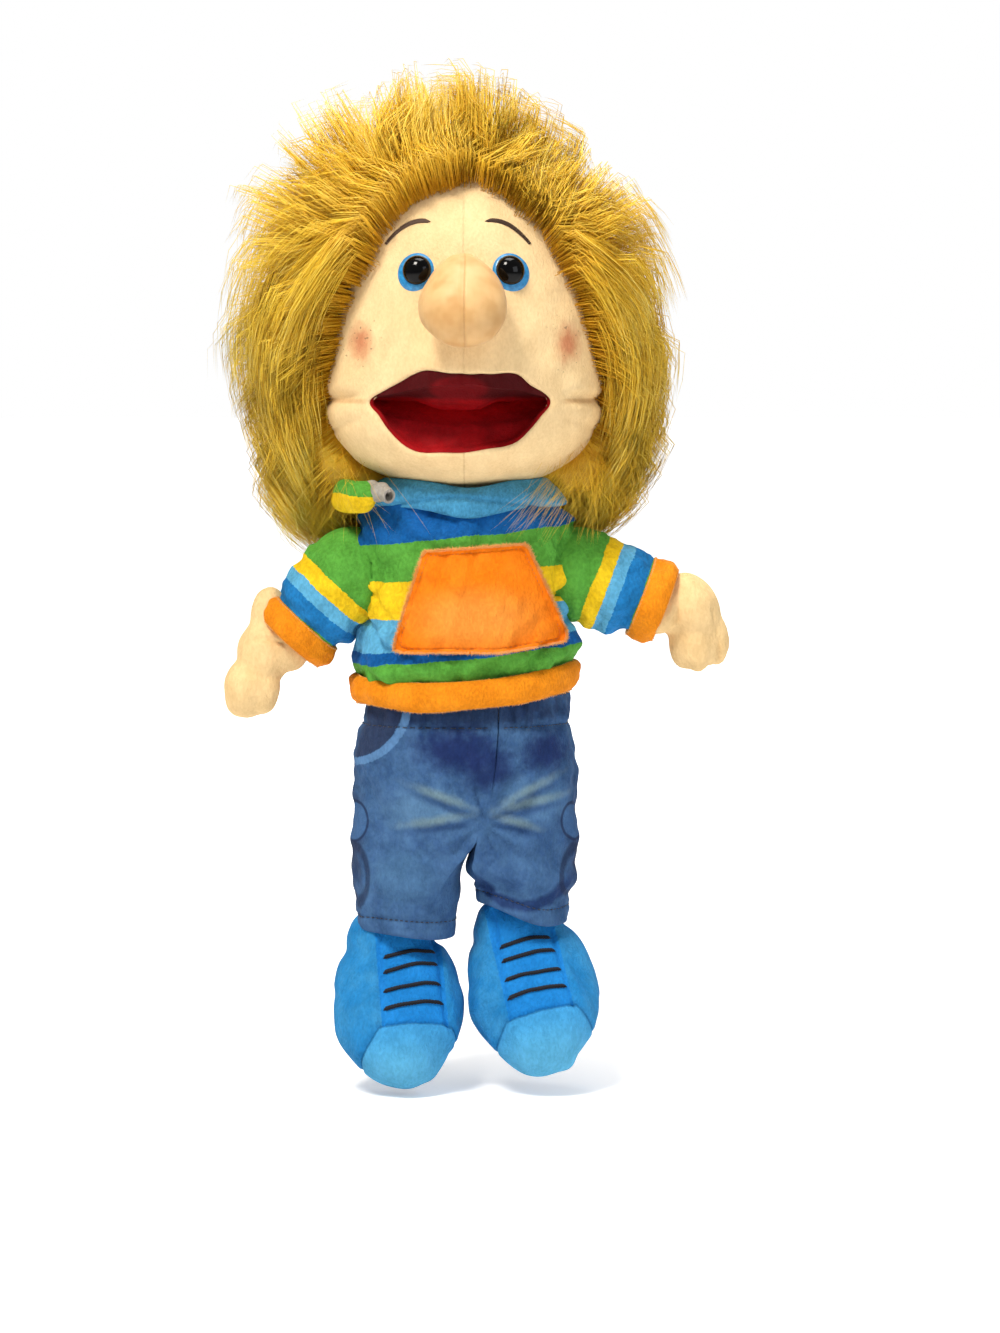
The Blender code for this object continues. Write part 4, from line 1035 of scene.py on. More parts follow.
    def guides(self, count: int) -> tuple[np.ndarray, np.ndarray]:
        """The middle line of each lock.

        Args:
            count: how many locks.

        Returns:
            (count by steps by 3 places, which layer each is in from 0 inside to 1 outside).
        """
        rng, size = self.rng, self.size
        angle = rng.uniform(0, 2 * math.pi, count)
        start = self.hairline(angle)
        share = rng.uniform(0, 1, count) ** 1.35
        edge_row = rng.uniform(0, 1, count) < 0.16
        share = np.where(edge_row, rng.uniform(0, 0.03, count), share)
        turn = start + (math.radians(172) - start) * share
        root, out = self.root_at(angle, turn)
        ahead = self.flow(root, out)
        spot = root - np.array(size.middle)
        inside = np.hypot(spot[:, 0], spot[:, 2])
        room = self.outline(np.arctan2(spot[:, 2], spot[:, 0])) - inside * 0.9
        length = np.clip(room * 1.05 + 0.020, 0.045, 0.088) * rng.uniform(0.82, 1.08, count)
        layer = rng.uniform(0, 1, count)
        lift = unit(out * (0.55 + 0.5 * layer)[:, None] + ahead * 0.6 + rng.normal(0, 0.07, (count, 3)))
        lines = np.zeros((count, size.steps, 3))
        lines[:, 0] = root - out * 0.001
        heading = lift
        step = length / (size.steps - 1)
        for k in range(1, size.steps):
            t = k / (size.steps - 1)
            lines[:, k] = lines[:, k - 1] + heading * step[:, None]
            sway = np.stack([wobble(lines[:, k], 0.045, 50 + a) for a in range(3)], axis=-1) * 0.07
            weight = np.array([0, 0, -1.0]) * (0.06 + 0.22 * t) * smooth(0.27, 0.15, lines[:, k, 2])[:, None]
            heading = unit(heading * 0.74 + ahead * 0.26 + sway + weight)
            past = self.limit(lines[:, k])
            target = 0.90 + 0.11 * layer
            # Pile that would stick out past the mane's outline turns along it.
            over = smooth(-0.10, 0.04, past - target)
            normal = unit(lines[:, k] - np.array(size.middle))
            outward = np.clip((heading * normal).sum(-1), 0, 1) * over
            heading = unit(heading - normal * outward[:, None])
            # On the crown it lies back.
            crown = over * smooth(0.19, 0.225, lines[:, k, 2])
            heading = unit(heading + np.array([0, 0.40, 0]) * crown[:, None])
        return lines, layer

    def locks(self) -> None:
        """Strands gathered into pointed locks, and loose ones between them."""
        size, rng = self.size, self.rng
        lines, layer = self.guides(size.locks)
        many = size.per_lock
        steps = size.steps
        t = np.linspace(0, 1, steps)
        count = size.locks * many
        middle = np.repeat(lines, many, axis=0)
        ahead = unit(middle[:, 2] - middle[:, 0])
        helper = unit(np.cross(ahead, rng.normal(size=(count, 3))))
        spread = np.sqrt(rng.uniform(0, 1, count)) * rng.uniform(0.0036, 0.0078, count)
        gather = (1 - 0.45 * t**1.2)[None, :, None]
        waves = [np.sin(t * rng.uniform(2, 6, (count, 1)) + rng.uniform(0, 6.3, (count, 1))) for _ in range(3)]
        curl = np.stack(waves, axis=-1)
        offset = helper[:, None, :] * spread[:, None, None] * gather + curl * 0.0014 * t[None, :, None]
        hairs = middle + offset
        # Each hair has its own length, so that a lock's end is a soft brush and not a point.
        reach = rng.uniform(0.70, 1.06, count)
        hairs = hairs[:, :1] + (hairs - hairs[:, :1]) * reach[:, None, None]
        loose = rng.uniform(0, 1, count) < 0.05
        stray = np.where(loose, rng.uniform(0.004, 0.010, count), 0)
        away = unit(rng.normal(size=(count, 3)))
        hairs += away[:, None, :] * (stray[:, None] * t[None, :] ** 2)[..., None]
        # Behind, the mane lies flat on itself.
        behind = hairs[..., 1] - size.flat_y
        hairs[..., 1] = np.where(behind > 0, size.flat_y + 0.016 * np.tanh(behind / 0.016), hairs[..., 1])
        thick = rng.uniform(0.00014, 0.00024, count) * np.where(loose, 0.6, 1.0)
        radii = thick[:, None] * (1 - 0.62 * t**2)[None, :]
        lock_tone = np.repeat(rng.normal(0.5, 0.17, size.locks) + 0.14 * (layer - 0.5), many)
        tone = np.clip(lock_tone + rng.normal(0, 0.16, count), 0, 1)
        keep_all = self.trim(hairs)
        hairs, radii, tone = hairs[keep_all], radii[keep_all], tone[keep_all]
        finish = fur_finish("fur_strand", True)
        parts = 7
        order = np.argsort(np.arctan2(hairs[:, 0, 2] - 0.16, hairs[:, 0, 0]), kind="stable")
        for part, chosen in enumerate(np.array_split(order, parts)):
            piece = strands(f"wig_locks_{part + 1}", hairs[chosen], radii[chosen], tone[chosen])
            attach(piece, "head")
            dress(piece, finish, "fur")
        log.info("wig: %d hairs", len(hairs))

    def wisps(self) -> None:
        """Thin loose hairs that hang over the collar and the shoulders."""
        rng = np.random.default_rng(77)
        count, steps = 150, 8
        side = np.where(rng.uniform(0, 1, count) < 0.86, 1.0, -1.0)
        x, y, z = (rng.uniform(low, high, count) for low, high in ((0.040, 0.064), (-0.058, -0.046), (0.102, 0.120)))
        root = np.stack([side * x, y, z], axis=-1)
        x, y, z = (rng.uniform(low, high, count) for low, high in ((-0.012, 0.034), (-0.076, -0.070), (0.070, 0.088)))
        end = np.stack([root[:, 0] - side * x, y, z], axis=-1)
        t = np.linspace(0, 1, steps)[None, :, None]
        lines = root[:, None] * (1 - t) + end[:, None] * t
        bow = np.sin(t * math.pi) * rng.uniform(0.002, 0.009, (count, 1, 1))
        aside = (side * rng.uniform(-0.3, 1.0, count))[:, None, None]
        lines = lines + bow * np.array([0, -0.55, 0.15]) + aside * bow * np.array([1.0, 0, 0])
        radii = np.full((count, steps), 0.00007) * (1 - 0.5 * t[:, :, 0])
        piece = strands("wig_wisps", lines, radii, rng.uniform(0.0, 0.6, count))
        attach(piece, "head")
        dress(piece, bpy.data.materials["fur_strand"], "fur")

    def trim(self, hairs: np.ndarray) -> np.ndarray:
        """Which hairs stay clear of the face."""
        outline = [
            (0.095, 0.0), (0.100, 0.030), (0.107, 0.043), (0.120, 0.0585), (0.134, 0.0620), (0.147, 0.0600),
            (0.169, 0.0540), (0.191, 0.0455), (0.207, 0.0360), (0.215, 0.0260), (0.2195, 0.0145), (0.2220, 0.0),
        ]
        co = hairs[:, 1:]
        half = through(outline, co[..., 2].ravel())[:, 0].reshape(co.shape[:2])
        slack = self.rng.uniform(0.0, 0.0035, len(hairs))[:, None]
        over_face = (np.abs(co[..., 0]) < half - slack) & (co[..., 1] < -0.046)
        # Over the forehead the pile is combed up and back, and none of it lies sideways.
        spot = hairs[:, 0] - np.array(self.size.middle)
        away = unit(spot[:, [0, 2]])
        run = hairs[:, -1][:, [0, 2]] - hairs[:, 0][:, [0, 2]]
        outward = (run * away).sum(-1)
        sideways = np.abs(run[:, 0] * away[:, 1] - run[:, 1] * away[:, 0])
        fringe_root = (hairs[:, 0, 2] > 0.203) & (hairs[:, 0, 1] < -0.030)
        swept = fringe_root & (sideways > 0.006 + 0.7 * np.clip(outward, 0, 1))
        return ~(np.any(over_face, axis=1) | swept)

    def build(self) -> None:
        """Makes the wig."""
        self.body()
        self.locks()
        self.wisps()


# ---------------------------------------------------------------- clothes


ORANGE, GREEN, YELLOW, SKY, NAVY, BLUE = "FF9314", "58A63C", "FFD21C", "5FB4E6", "0A5CA8", "1C7CC6"
STRIPES = [
    (0.0, GREEN), (0.0195, GREEN), (0.0225, NAVY), (0.0275, SKY), (0.0419, YELLOW), (0.0584, GREEN),
    (0.0752, NAVY),
]


def plush_plain(name: str, code: str, **settings: Any) -> bpy.types.Material:
    """Plush of one dye, kept so that pieces can share it."""
    if name in bpy.data.materials:
        return bpy.data.materials[name]
    return velour(name, code, **settings)


def plush_striped(
    name: str, value: Callable[[Finish], Any], stops: list[tuple[float, str]], span: float
) -> bpy.types.Material:
    """Striped minky plush: the stripes are knitted in, so their edges are broken by single tufts.

    Args:
        name: the material's name.
        value: gives the socket that the stripes follow, in metres.
        stops: where each stripe starts, in metres, with its colour.
        span: the length that the stops cover.

    Returns:
        The material.
    """
    made = Finish(name)
    run = value(made)
    ragged = made.sum("MULTIPLY", made.sum("SUBTRACT", made.noise(0.9 * MM, 2.0), 0.5), 0.0016)
    warped = made.sum("MULTIPLY", made.sum("SUBTRACT", made.noise(22 * MM, 1.0), 0.5), 0.0032)
    share = made.sum("DIVIDE", made.sum("ADD", made.sum("ADD", run, ragged), warped), span)
    ramp = made.add("ValToRGB", {"Fac": share}, stops=[(at / span, code) for at, code in stops])
    ramp.color_ramp.interpolation = "CONSTANT"
    return pile_finish(made, ramp.outputs["Color"], 0.55 * MM, 8 * MM, 0.30, 0.34 * MM, None, 0.1, (1.2, 1, 1.6))


def fringe(
    name: str, edge: np.ndarray, out: np.ndarray, lean: np.ndarray, length: float, count: int, seed: int
) -> bpy.types.Object:
    """Loose pile standing out along a cut or folded edge.

    Args:
        name: the piece's name.
        edge: N by 3 points along the edge, evenly spaced.
        out: the way off the edge at each.
        lean: the way the pile also leans at each.
        length: the pile's length.
        count: how many fibres.
        seed: picks them.

    Returns:
        The piece.
    """
    rng = np.random.default_rng(seed)
    at = rng.uniform(0, len(edge) - 1.001, count)
    low = at.astype(int)
    share = (at - low)[:, None]
    root = edge[low] * (1 - share) + edge[low + 1] * share
    heading = unit(out[low] + lean[low] * rng.uniform(-0.3, 0.9, (count, 1)) + rng.normal(0, 0.35, (count, 3)))
    reach = rng.uniform(0.45, 1.0, count) * length
    t = np.linspace(0, 1, 4)
    lines = root[:, None] + heading[:, None] * (reach[:, None] * t)[..., None]
    lines += rng.normal(0, 0.12, (count, 1, 3)) * (reach[:, None] * t**2)[..., None]
    lines -= heading[:, None] * 0.0005
    radii = np.tile(0.00013 * (1 - 0.6 * t), (count, 1)) * rng.uniform(0.8, 1.3, (count, 1))
    return strands(name, lines, radii, rng.uniform(0, 1, count))


def fringe_finish(name: str, dark: str, light: str) -> bpy.types.Material:
    """Loose plush fibres: the cloth's own dye, paler at the ends where light comes through."""
    if name in bpy.data.materials:
        return bpy.data.materials[name]
    made = Finish(name)
    tone = made.add("Attribute", attribute_name="tone").outputs["Fac"]
    along = made.add("Attribute", attribute_name="along").outputs["Fac"]
    share = made.sum("ADD", made.sum("MULTIPLY", tone, 0.5), made.sum("MULTIPLY", along, 0.5))
    shade = made.mix(share, colour(dark), colour(light))
    fuzz = made.noise(0.4 * MM)
    return made.finish(shade, made.ease(fuzz, 0, 1, 0.6, 0.8), fuzz, 0.02 * MM, Sheen_Weight=0.4)


def orange_fuzz(piece: bpy.types.Object, body: str) -> bpy.types.Object:
    """Dresses the loose pile of an orange edge, and says which body it moves with."""
    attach(piece, body)
    return dress(piece, fringe_finish("orange_fuzz", "F08A14", "FFC466"), "orange")


def around(
    u: np.ndarray, half: np.ndarray, front: np.ndarray, back: np.ndarray, power: float = 2.2
) -> tuple[np.ndarray, np.ndarray]:
    """X and depth of a rounded outline: u goes once round, from +X by the front."""
    angle = -u * 2 * math.pi
    c, s = np.cos(angle), np.sin(angle)
    r = (np.abs(c) ** power + np.abs(s) ** power) ** (-1 / power)
    return half * c * r, np.where(s < 0, -s * front, s * back) * r


class Jumper:
    """The hoodie's body with its hem, pocket, collar and hood."""

    @dataclass(frozen=True)
    class Size:
        """Driving sizes of the jumper's body."""

        sections: tuple = (
            (0.0000, 0.0468, -0.0335, 0.0465),
            (0.0120, 0.0472, -0.0340, 0.0470),
            (0.0240, 0.0478, -0.0350, 0.0470),
            (0.0450, 0.0480, -0.0345, 0.0440),
            (0.0620, 0.0490, -0.0325, 0.0390),
            (0.0740, 0.0490, -0.0305, 0.0350),
            (0.0810, 0.0470, -0.0290, 0.0335),
            (0.0870, 0.0420, -0.0270, 0.0310),
            (0.0930, 0.0385, -0.0250, 0.0295),
        )
        armhole: float = 0.0203
        shoulder: tuple = (0.050, AXIS_Y, 0.058)
        pocket_middle: float = 0.0050

    def __init__(self, size: Size = Size()) -> None:
        """Keeps the sizes."""
        self.size = size

    def shell(self, u: np.ndarray, z: np.ndarray, lift: float | np.ndarray = 0.0) -> np.ndarray:
        """Points on the jumper's body: u once round, at height z."""
        half, front, back = through(list(self.size.sections), z).T
        x, y = around(u, half + lift, front - lift, back + lift)
        x = x * (1 + 0.06 * smooth(0.0, 0.04, x) * smooth(0.030, 0.060, z) * smooth(0.086, 0.070, z))
        return np.stack([x, y + AXIS_Y, z], axis=-1)

    def front_at(self, x: np.ndarray, z: np.ndarray, lift: float | np.ndarray) -> np.ndarray:
        """The point on the jumper's front at x and z."""
        half, front, _ = through(list(self.size.sections), z).T
        power = 2.2
        deep = (1 - np.clip(np.abs(x) / (half + lift), 0, 0.999) ** power) ** (1 / power)
        return np.stack([x, AXIS_Y + (front - lift) * deep, z], axis=-1)

    @staticmethod
    def tilt(x: np.ndarray) -> np.ndarray:
        """How far the hem is lifted at x: the jumper has slipped up at the sides, more at one."""
        return 0.07 * x + 1.5 * x**2

    def folds(self, co: np.ndarray) -> np.ndarray:
        """How far the cloth stands in or out at each point: drag lines, a blouse over the hem, and the armholes."""
        x, z = co[:, 0], co[:, 2]
        front = smooth(-0.02, -0.045, co[:, 1])
        depth = 0.0020 * wobble(co, 0.034, 21) + 0.0012 * wobble(co, 0.014, 22)
        low = z - self.tilt(x)
        depth += 0.0019 * bell(low - 0.0195, 0.0060) - 0.0014 * bell(low - 0.0115, 0.0030)
        gathers = np.sin(x * 620 + 2.2 * wobble(co, 0.03, 23)) * 0.0007
        depth += gathers * bell(low - 0.0155, 0.0065)
        for side in Side:
            sx = side.value * x
            # Drag lines run from the armhole towards the hem, deepest under the arm.
            for offset, strength in ((0.010, 0.0016), (0.024, 0.0021), (0.040, 0.0013)):
                line = (z - 0.066) + (0.050 - sx) * 0.95 + offset
                depth += -strength * bell(line, 0.0026) * smooth(0.012, 0.034, sx) * front
                depth += strength * 0.7 * bell(line - 0.0052, 0.0034) * smooth(0.012, 0.034, sx) * front
            hole = np.hypot(co[:, 1] - self.size.shoulder[1], z - self.size.shoulder[2]) - self.size.armhole
            depth -= 0.0020 * bell(hole - 0.0012, 0.0020) * (sx > 0.034)
        return depth

    def body(self) -> bpy.types.Object:
        """The striped body, with a hole at each arm."""
        size = self.size

        def place(u: np.ndarray, v: np.ndarray) -> np.ndarray:
            z = 0.0070 + v * (0.0905 - 0.0070)
            co = self.shell(u, z)
            co[:, 2] += self.tilt(co[:, 0]) * (1 - v) ** 2
            middle = np.array([0, AXIS_Y, 0])
            out = co - middle
            out[:, 2] = 0
            return co + unit(out) * self.folds(co)[:, None]

        piece = surface("jumper_cloth", 240, 96, place, weld=1e-6)
        co = places(piece)
        made = bmesh.new()
        made.from_mesh(piece.data)
        inside = []
        for face in made.faces:
            c = face.calc_center_median()
            off_centre = math.hypot(c.y - size.shoulder[1], c.z - size.shoulder[2])
            if abs(c.x) > 0.030 and off_centre < size.armhole - 0.0016:
                inside.append(face)
        bmesh.ops.delete(made, geom=inside, context="FACES")
        made.to_mesh(piece.data)
        made.free()
        log.info("jumper: %d corners, %d faces cut for the arms", len(co), len(inside))
        refine(piece, 0, 0.0014)
        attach(piece, "torso")
        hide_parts("jumper_body")

        def run(made: Finish) -> Any:
            x, _, z = made.axes()
            return made.sum("SUBTRACT", z, made.sum("MULTIPLY", x, 0.10))

        return dress(piece, plush_striped("plush_stripes", run, STRIPES, 0.1), "stripe_blue")

    def hem(self) -> bpy.types.Object:
        """The orange band: a thick fold of plush, rolled in at the bottom."""

        def place(u: np.ndarray, v: np.ndarray) -> np.ndarray:
            # The profile goes up the inside, over the top and down the outside to the rolled edge.
            profile = [
                (0.0, -0.0026, 0.0090), (0.12, -0.0028, 0.0048), (0.20, -0.0018, 0.0022), (0.28, 0.0002, 0.0010),
                (0.36, 0.0022, 0.0022), (0.50, 0.0036, 0.0056), (0.68, 0.0035, 0.0092), (0.84, 0.0024, 0.0116),
                (0.92, 0.0008, 0.0130), (1.0, -0.0014, 0.0122),
            ]
            lift, z = through(profile, v).T
            co = self.shell(u, np.full_like(u, 0.006), lift)
            co[:, 2] = z + self.tilt(co[:, 0])
            sag = 0.0012 * wobble(np.stack([co[:, 0], co[:, 1], 0 * z], axis=-1), 0.06, 33)
            co[:, 2] += sag * smooth(0.010, 0.002, z)
            out = co - np.array([0, AXIS_Y, 0])
            out[:, 2] = 0
            return co + unit(out) * (0.0011 * wobble(co, 0.030, 34) + 0.0005 * wobble(co, 0.011, 35))[:, None]

        piece = surface("jumper_hem_band", 220, 56, place)
        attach(piece, "torso")
        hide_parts("jumper_hem")
        dress(piece, orange_plush(), "orange")
        t = np.linspace(0, 1, 500)
        low = place(t, np.full_like(t, 0.29))
        out = unit((low - np.array([0, AXIS_Y, 0])) * [1, 1, 0])
        down = np.tile([0, 0, -1.0], (500, 1))
        orange_fuzz(fringe("jumper_hem_fuzz", low, down, out * 0.8, 0.0014, 2700, 71), "torso")
        top = place(t, np.full_like(t, 0.93))
        orange_fuzz(fringe("jumper_hem_fuzz_top", top, -down, out * 1.2, 0.0010, 2100, 72), "torso")
        return piece

    def pocket_outline(self, t: np.ndarray) -> np.ndarray:
        """X and Z of the patch's cut edge for t once round."""
        c = self.size.pocket_middle
        corners = [
            (0.00, c - 0.0215, 0.0692), (0.20, c + 0.0205, 0.0722), (0.235, c + 0.0228, 0.0708),
            (0.44, c + 0.0390, 0.0350), (0.47, c + 0.0396, 0.0318), (0.50, c + 0.0385, 0.0296),
            (0.62, c + 0.0100, 0.0258), (0.74, c - 0.0320, 0.0258), (0.77, c - 0.0352, 0.0268),
            (0.81, c - 0.0345, 0.0325), (0.97, c - 0.0232, 0.0672), (1.0, c - 0.0215, 0.0692),
        ]
        rows = np.array(corners)
        x = np.interp(t, rows[:, 0], rows[:, 1])
        z = np.interp(t, rows[:, 0], rows[:, 2])
        return np.stack([x, z], axis=-1)

    def pocket(self) -> bpy.types.Object:
        """The patch pocket, a raw-edged piece of orange plush sewn on just inside its edge."""
        middle = np.array([self.size.pocket_middle, 0.0460])

        def place(u: np.ndarray, v: np.ndarray) -> np.ndarray:
            edge = self.pocket_outline(u)
            at = middle + (edge - middle) * v[:, None]
            puff = 0.0016 * smooth(0.94, 0.55, v) - 0.0007 * bell(v - 0.925, 0.02) + 0.0006 * smooth(0.95, 1.0, v)
            here = np.stack([at[:, 0], 0 * v, at[:, 1]], axis=-1)
            puff = puff + 0.0005 * wobble(here, 0.020, 44) * (v < 0.93)
            puff = puff + 0.0004 * wobble(here, 0.007, 45) * smooth(0.93, 1.0, v)
            body = self.front_at(at[:, 0], at[:, 1], 0.0)
            lift = 0.0026 + puff + np.maximum(self.folds(body), -0.0003)
            return self.front_at(at[:, 0], at[:, 1], lift)

        piece = surface("jumper_pocket_patch", 200, 48, place, weld=1e-5)
        turned = normals(piece)[:, 1].mean()
        if turned > 0:
            piece.data.flip_normals()
        refine(piece, 0, 0.0013)
        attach(piece, "torso")
        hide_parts("jumper_pocket")
        made = Finish("orange_patch_plush")
        dress(piece, self.pocket_finish(made), "orange")
        t = np.linspace(0, 1, 700)
        edge = place(t, np.ones_like(t))
        inner = place(t, np.full_like(t, 0.97))
        out = unit(edge - inner)
        front = np.tile([0, -1.0, 0], (700, 1))
        orange_fuzz(fringe("jumper_pocket_fuzz", edge, out, front, 0.0024, 4600, 46), "torso")
        # The stitching: short stitches that sink into the pile.
        run = place(t, np.full_like(t, 0.925))
        keep_at = (np.arange(700) % 7) < 5
        lines = []
        for i in np.flatnonzero(keep_at[:-7])[::5]:
            lines.append(run[i : i + 5] + front[:5] * 0.0002)
        shades = np.random.default_rng(3).uniform(0, 1, len(lines))
        stitches = strands("jumper_pocket_stitches", np.array(lines), np.full((len(lines), 5), 0.00016), shades)
        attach(stitches, "torso")
        dress(stitches, thread("orange_thread", "B85407", "D9720F"), "orange")
        return piece

    def pocket_finish(self, made: Finish) -> bpy.types.Material:
        """Orange plush, darker at the top of the patch and paler over its lower half."""
        from_middle = made.near((self.size.pocket_middle, -0.072, 0.040), (0.035, 0.05, 0.017))
        # Paler over the lower middle of the patch, darker towards the top and the edges.
        worn = made.ease(from_middle, 0.2, 1.1, 0.65, 0.0)
        tone = made.mix(worn, colour("FF820C"), colour("FFA74A"))
        return pile_finish(made, tone, 0.55 * MM, 9 * MM, 0.20, 0.30 * MM)

    def collar(self) -> bpy.types.Object:
        """A soft cowl that folds over itself and dips at the throat."""

        def place(u: np.ndarray, v: np.ndarray) -> np.ndarray:
            profile = [
                (0.0, -0.0090, 0.0850), (0.14, -0.0080, 0.0930), (0.28, -0.0052, 0.0985),
                (0.40, -0.0010, 0.1004), (0.52, 0.0024, 0.0985), (0.66, 0.0042, 0.0950),
                (0.80, 0.0042, 0.0908), (0.92, 0.0022, 0.0880), (1.0, -0.0010, 0.0876),
            ]
            lift, z = through(profile, v).T
            half = 0.0435 - 0.0075 * smooth(0.085, 0.099, z)
            front, back = -0.0262, 0.0310
            x, y = around(u, half + lift, front - lift, back + lift)
            co = np.stack([x, y + AXIS_Y, z], axis=-1)
            throat = bell(x - 0.002, 0.016) * (y < 0)
            co[:, 2] -= throat * (0.0032 + 0.0012 * smooth(0.2, 0.6, v))
            co[:, 1] -= throat * 0.0016
            # Two soft creases that hang from the sides and meet at the throat.
            sweep = np.abs(x) * 0.14
            crease = bell(z - 0.0928 + sweep - 0.0040 * bell(x, 0.02), 0.0011) * (y < 0.005) * smooth(0.4, 0.6, v)
            out = np.stack([x, y, 0 * x], axis=-1)
            return co + unit(out) * (-0.0016 * crease + 0.0012 * wobble(co, 0.018, 52))[:, None]

        piece = surface("jumper_cowl", 200, 48, place)
        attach(piece, "torso")
        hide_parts("jumper_collar")
        return dress(piece, plush_plain("sky_plush", "4AA0D6", shade=0.34), "sky")

    def hood(self) -> None:
        """The hood, rolled up round the back of the neck, and its bag behind."""

        def roll(u: np.ndarray, v: np.ndarray) -> np.ndarray:
            turn = math.radians(12) + v * math.radians(210)
            r = 0.0062 + 0.0010 * np.sin(v * 9) + 0.0006 * np.sin(u * 2 * math.pi * 3 + v * 20)
            end = smooth(0.0, 0.045, v) * smooth(1.0, 0.955, v)
            r = r * np.sqrt(np.clip(end, 0, 1))
            deep = 0.0030 + AXIS_Y + 0.0430 * np.sin(turn) * np.where(np.sin(turn) < 0, 1.15, 1.0)
            centre = np.stack([0.0520 * np.cos(turn), deep, 0.0925 + 0.0012 * np.sin(v * 7)], axis=-1)
            out = np.stack([np.cos(turn), np.sin(turn), 0 * turn], axis=-1)
            a = u * 2 * math.pi
            return centre + out * (r * np.cos(a))[:, None] + np.array([0, 0, 1.0]) * (r * np.sin(a))[:, None]

        piece = surface("hood_roll", 40, 150, roll, weld=1e-5)
        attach(piece, "torso")
        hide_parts("hood_rim")

        def turn_of(made: Finish) -> Any:
            x, _, z = made.axes()
            return made.sum("ADD", z, made.sum("MULTIPLY", x, 0.03))

        dress(piece, plush_striped("hood_stripes", turn_of, [(0.0, YELLOW), (0.0915, GREEN)], 0.12), "stripe_green")

        def lining(u: np.ndarray, v: np.ndarray) -> np.ndarray:
            # The hood's pale lining shows as a curled edge where the roll ends beside the chin.
            turn = u * 2 * math.pi * 1.15
            r = 0.0040 - 0.0016 * u
            along = (v - 0.5) * 0.016
            lump = 0.0005 * np.sin(v * 12 + u * 4)
            centre = np.array([-0.0370, AXIS_Y - 0.0265, 0.0945])
            run = np.array([0.62, -0.70, -0.16])
            first = np.array([0.35, 0.10, 0.93])
            second = np.cross(run, first)
            wide = (r + lump) * (1 - 0.25 * (2 * v - 1) ** 2)
            round_it = unit(first) * (wide * np.cos(turn))[:, None] + unit(second) * (wide * np.sin(turn))[:, None]
            return centre + run * along[:, None] + round_it

        edge = surface("hood_lining_edge", 60, 24, lining, outward=False)
        refine(edge, 1, 0.0012, 0.0)
        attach(edge, "torso")
        dress(edge, plush_plain("grey_fleece", "A7A29A", shade=0.25), "cotton")

        def bag(u: np.ndarray, v: np.ndarray) -> np.ndarray:
            a, rise = u * 2 * math.pi, (v - 0.5) * math.pi
            flat = np.cos(rise) ** 0.8
            x = 0.0385 * flat * np.cos(a) * (1 - 0.25 * np.sin(rise))
            y = 0.0095 * flat * np.sin(a) - 0.004 * (x / 0.0385) ** 2
            co = np.stack([x, y + 0.0160, 0.0580 + 0.0245 * np.sin(rise)], axis=-1)
            out = unit(co - np.array([0, 0.016, 0.058]))
            return co + out * (0.0022 * wobble(co, 0.026, 61) + 0.0007 * wobble(co, 0.010, 62))[:, None]

        sack = surface("hood_sack", 96, 56, bag)
        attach(sack, "torso")
        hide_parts("hood_bag")

        def height(made: Finish) -> Any:
            return made.axes()[2]

        bands = [(0.0, GREEN), (0.042, YELLOW), (0.054, SKY), (0.064, BLUE), (0.074, GREEN)]
        dress(sack, plush_striped("hood_bag_stripes", height, bands, 0.1), "stripe_blue")

    def build(self) -> None:
        """Makes every piece of the jumper's body."""
        self.body()
        self.hem()
        self.pocket()
        self.collar()
        self.hood()


def orange_plush() -> bpy.types.Material:
    """Orange plush, shared by the hem and the cuffs."""
    return plush_plain("orange_plush", ORANGE, shade=0.28)


def lump(name: str, parts: list[tuple], voxel: float, rounds: int = 6) -> bpy.types.Object:
    """A stuffed shape made of overlapping ellipsoids that grow into one skin.

    Args:
        name: the piece's name.
        parts: a (centre, radii, direction of the long axis) row for each ellipsoid.
        voxel: the size of the skin's faces.
        rounds: how often the skin is smoothed.

    Returns:
        The piece.
    """
    made = bmesh.new()
    for centre, radii, ahead in parts:
        turn = Vector(ahead).to_track_quat("Z", "Y").to_matrix().to_4x4()
        matrix = Matrix.Translation(Vector(centre)) @ turn @ Matrix.Diagonal((*radii, 1.0))
        bmesh.ops.create_uvsphere(made, u_segments=40, v_segments=24, radius=1.0, matrix=matrix)
    piece = grow(keep(name, made), voxel, rounds)
    piece.data.shade_smooth()
    return piece


def grow(piece: bpy.types.Object, voxel: float, rounds: int) -> bpy.types.Object:
    """Grows overlapping shapes into one skin with faces of size voxel, smoothed a number of rounds."""
    grown = piece.modifiers.new("grow", "REMESH")
    grown.mode = "VOXEL"
    grown.voxel_size = voxel
    apply_all(piece)
    made = bmesh.new()
    made.from_mesh(piece.data)
    for _ in range(rounds):
        bmesh.ops.smooth_vert(
            made, verts=made.verts, factor=0.5, use_axis_x=True, use_axis_y=True, use_axis_z=True
        )
    made.to_mesh(piece.data)
    made.free()
    return piece


def groove(
    piece: bpy.types.Object, path: list[tuple[float, float, float]], width: float, depth: float
) -> bpy.types.Object:
    """Presses a stitched line into a stuffed piece along a path of points."""
    co, out = places(piece), normals(piece)
    near = np.full(len(co), 1.0)
    points = np.array(path)
    for a, b in zip(points[:-1], points[1:]):
        t = np.clip(((co - a) @ (b - a)) / max(((b - a) ** 2).sum(), 1e-12), 0, 1)
        near = np.minimum(near, np.linalg.norm(co - (a + t[:, None] * (b - a)), axis=1))
    return put(piece, co - out * (depth * bell(near, width))[:, None])


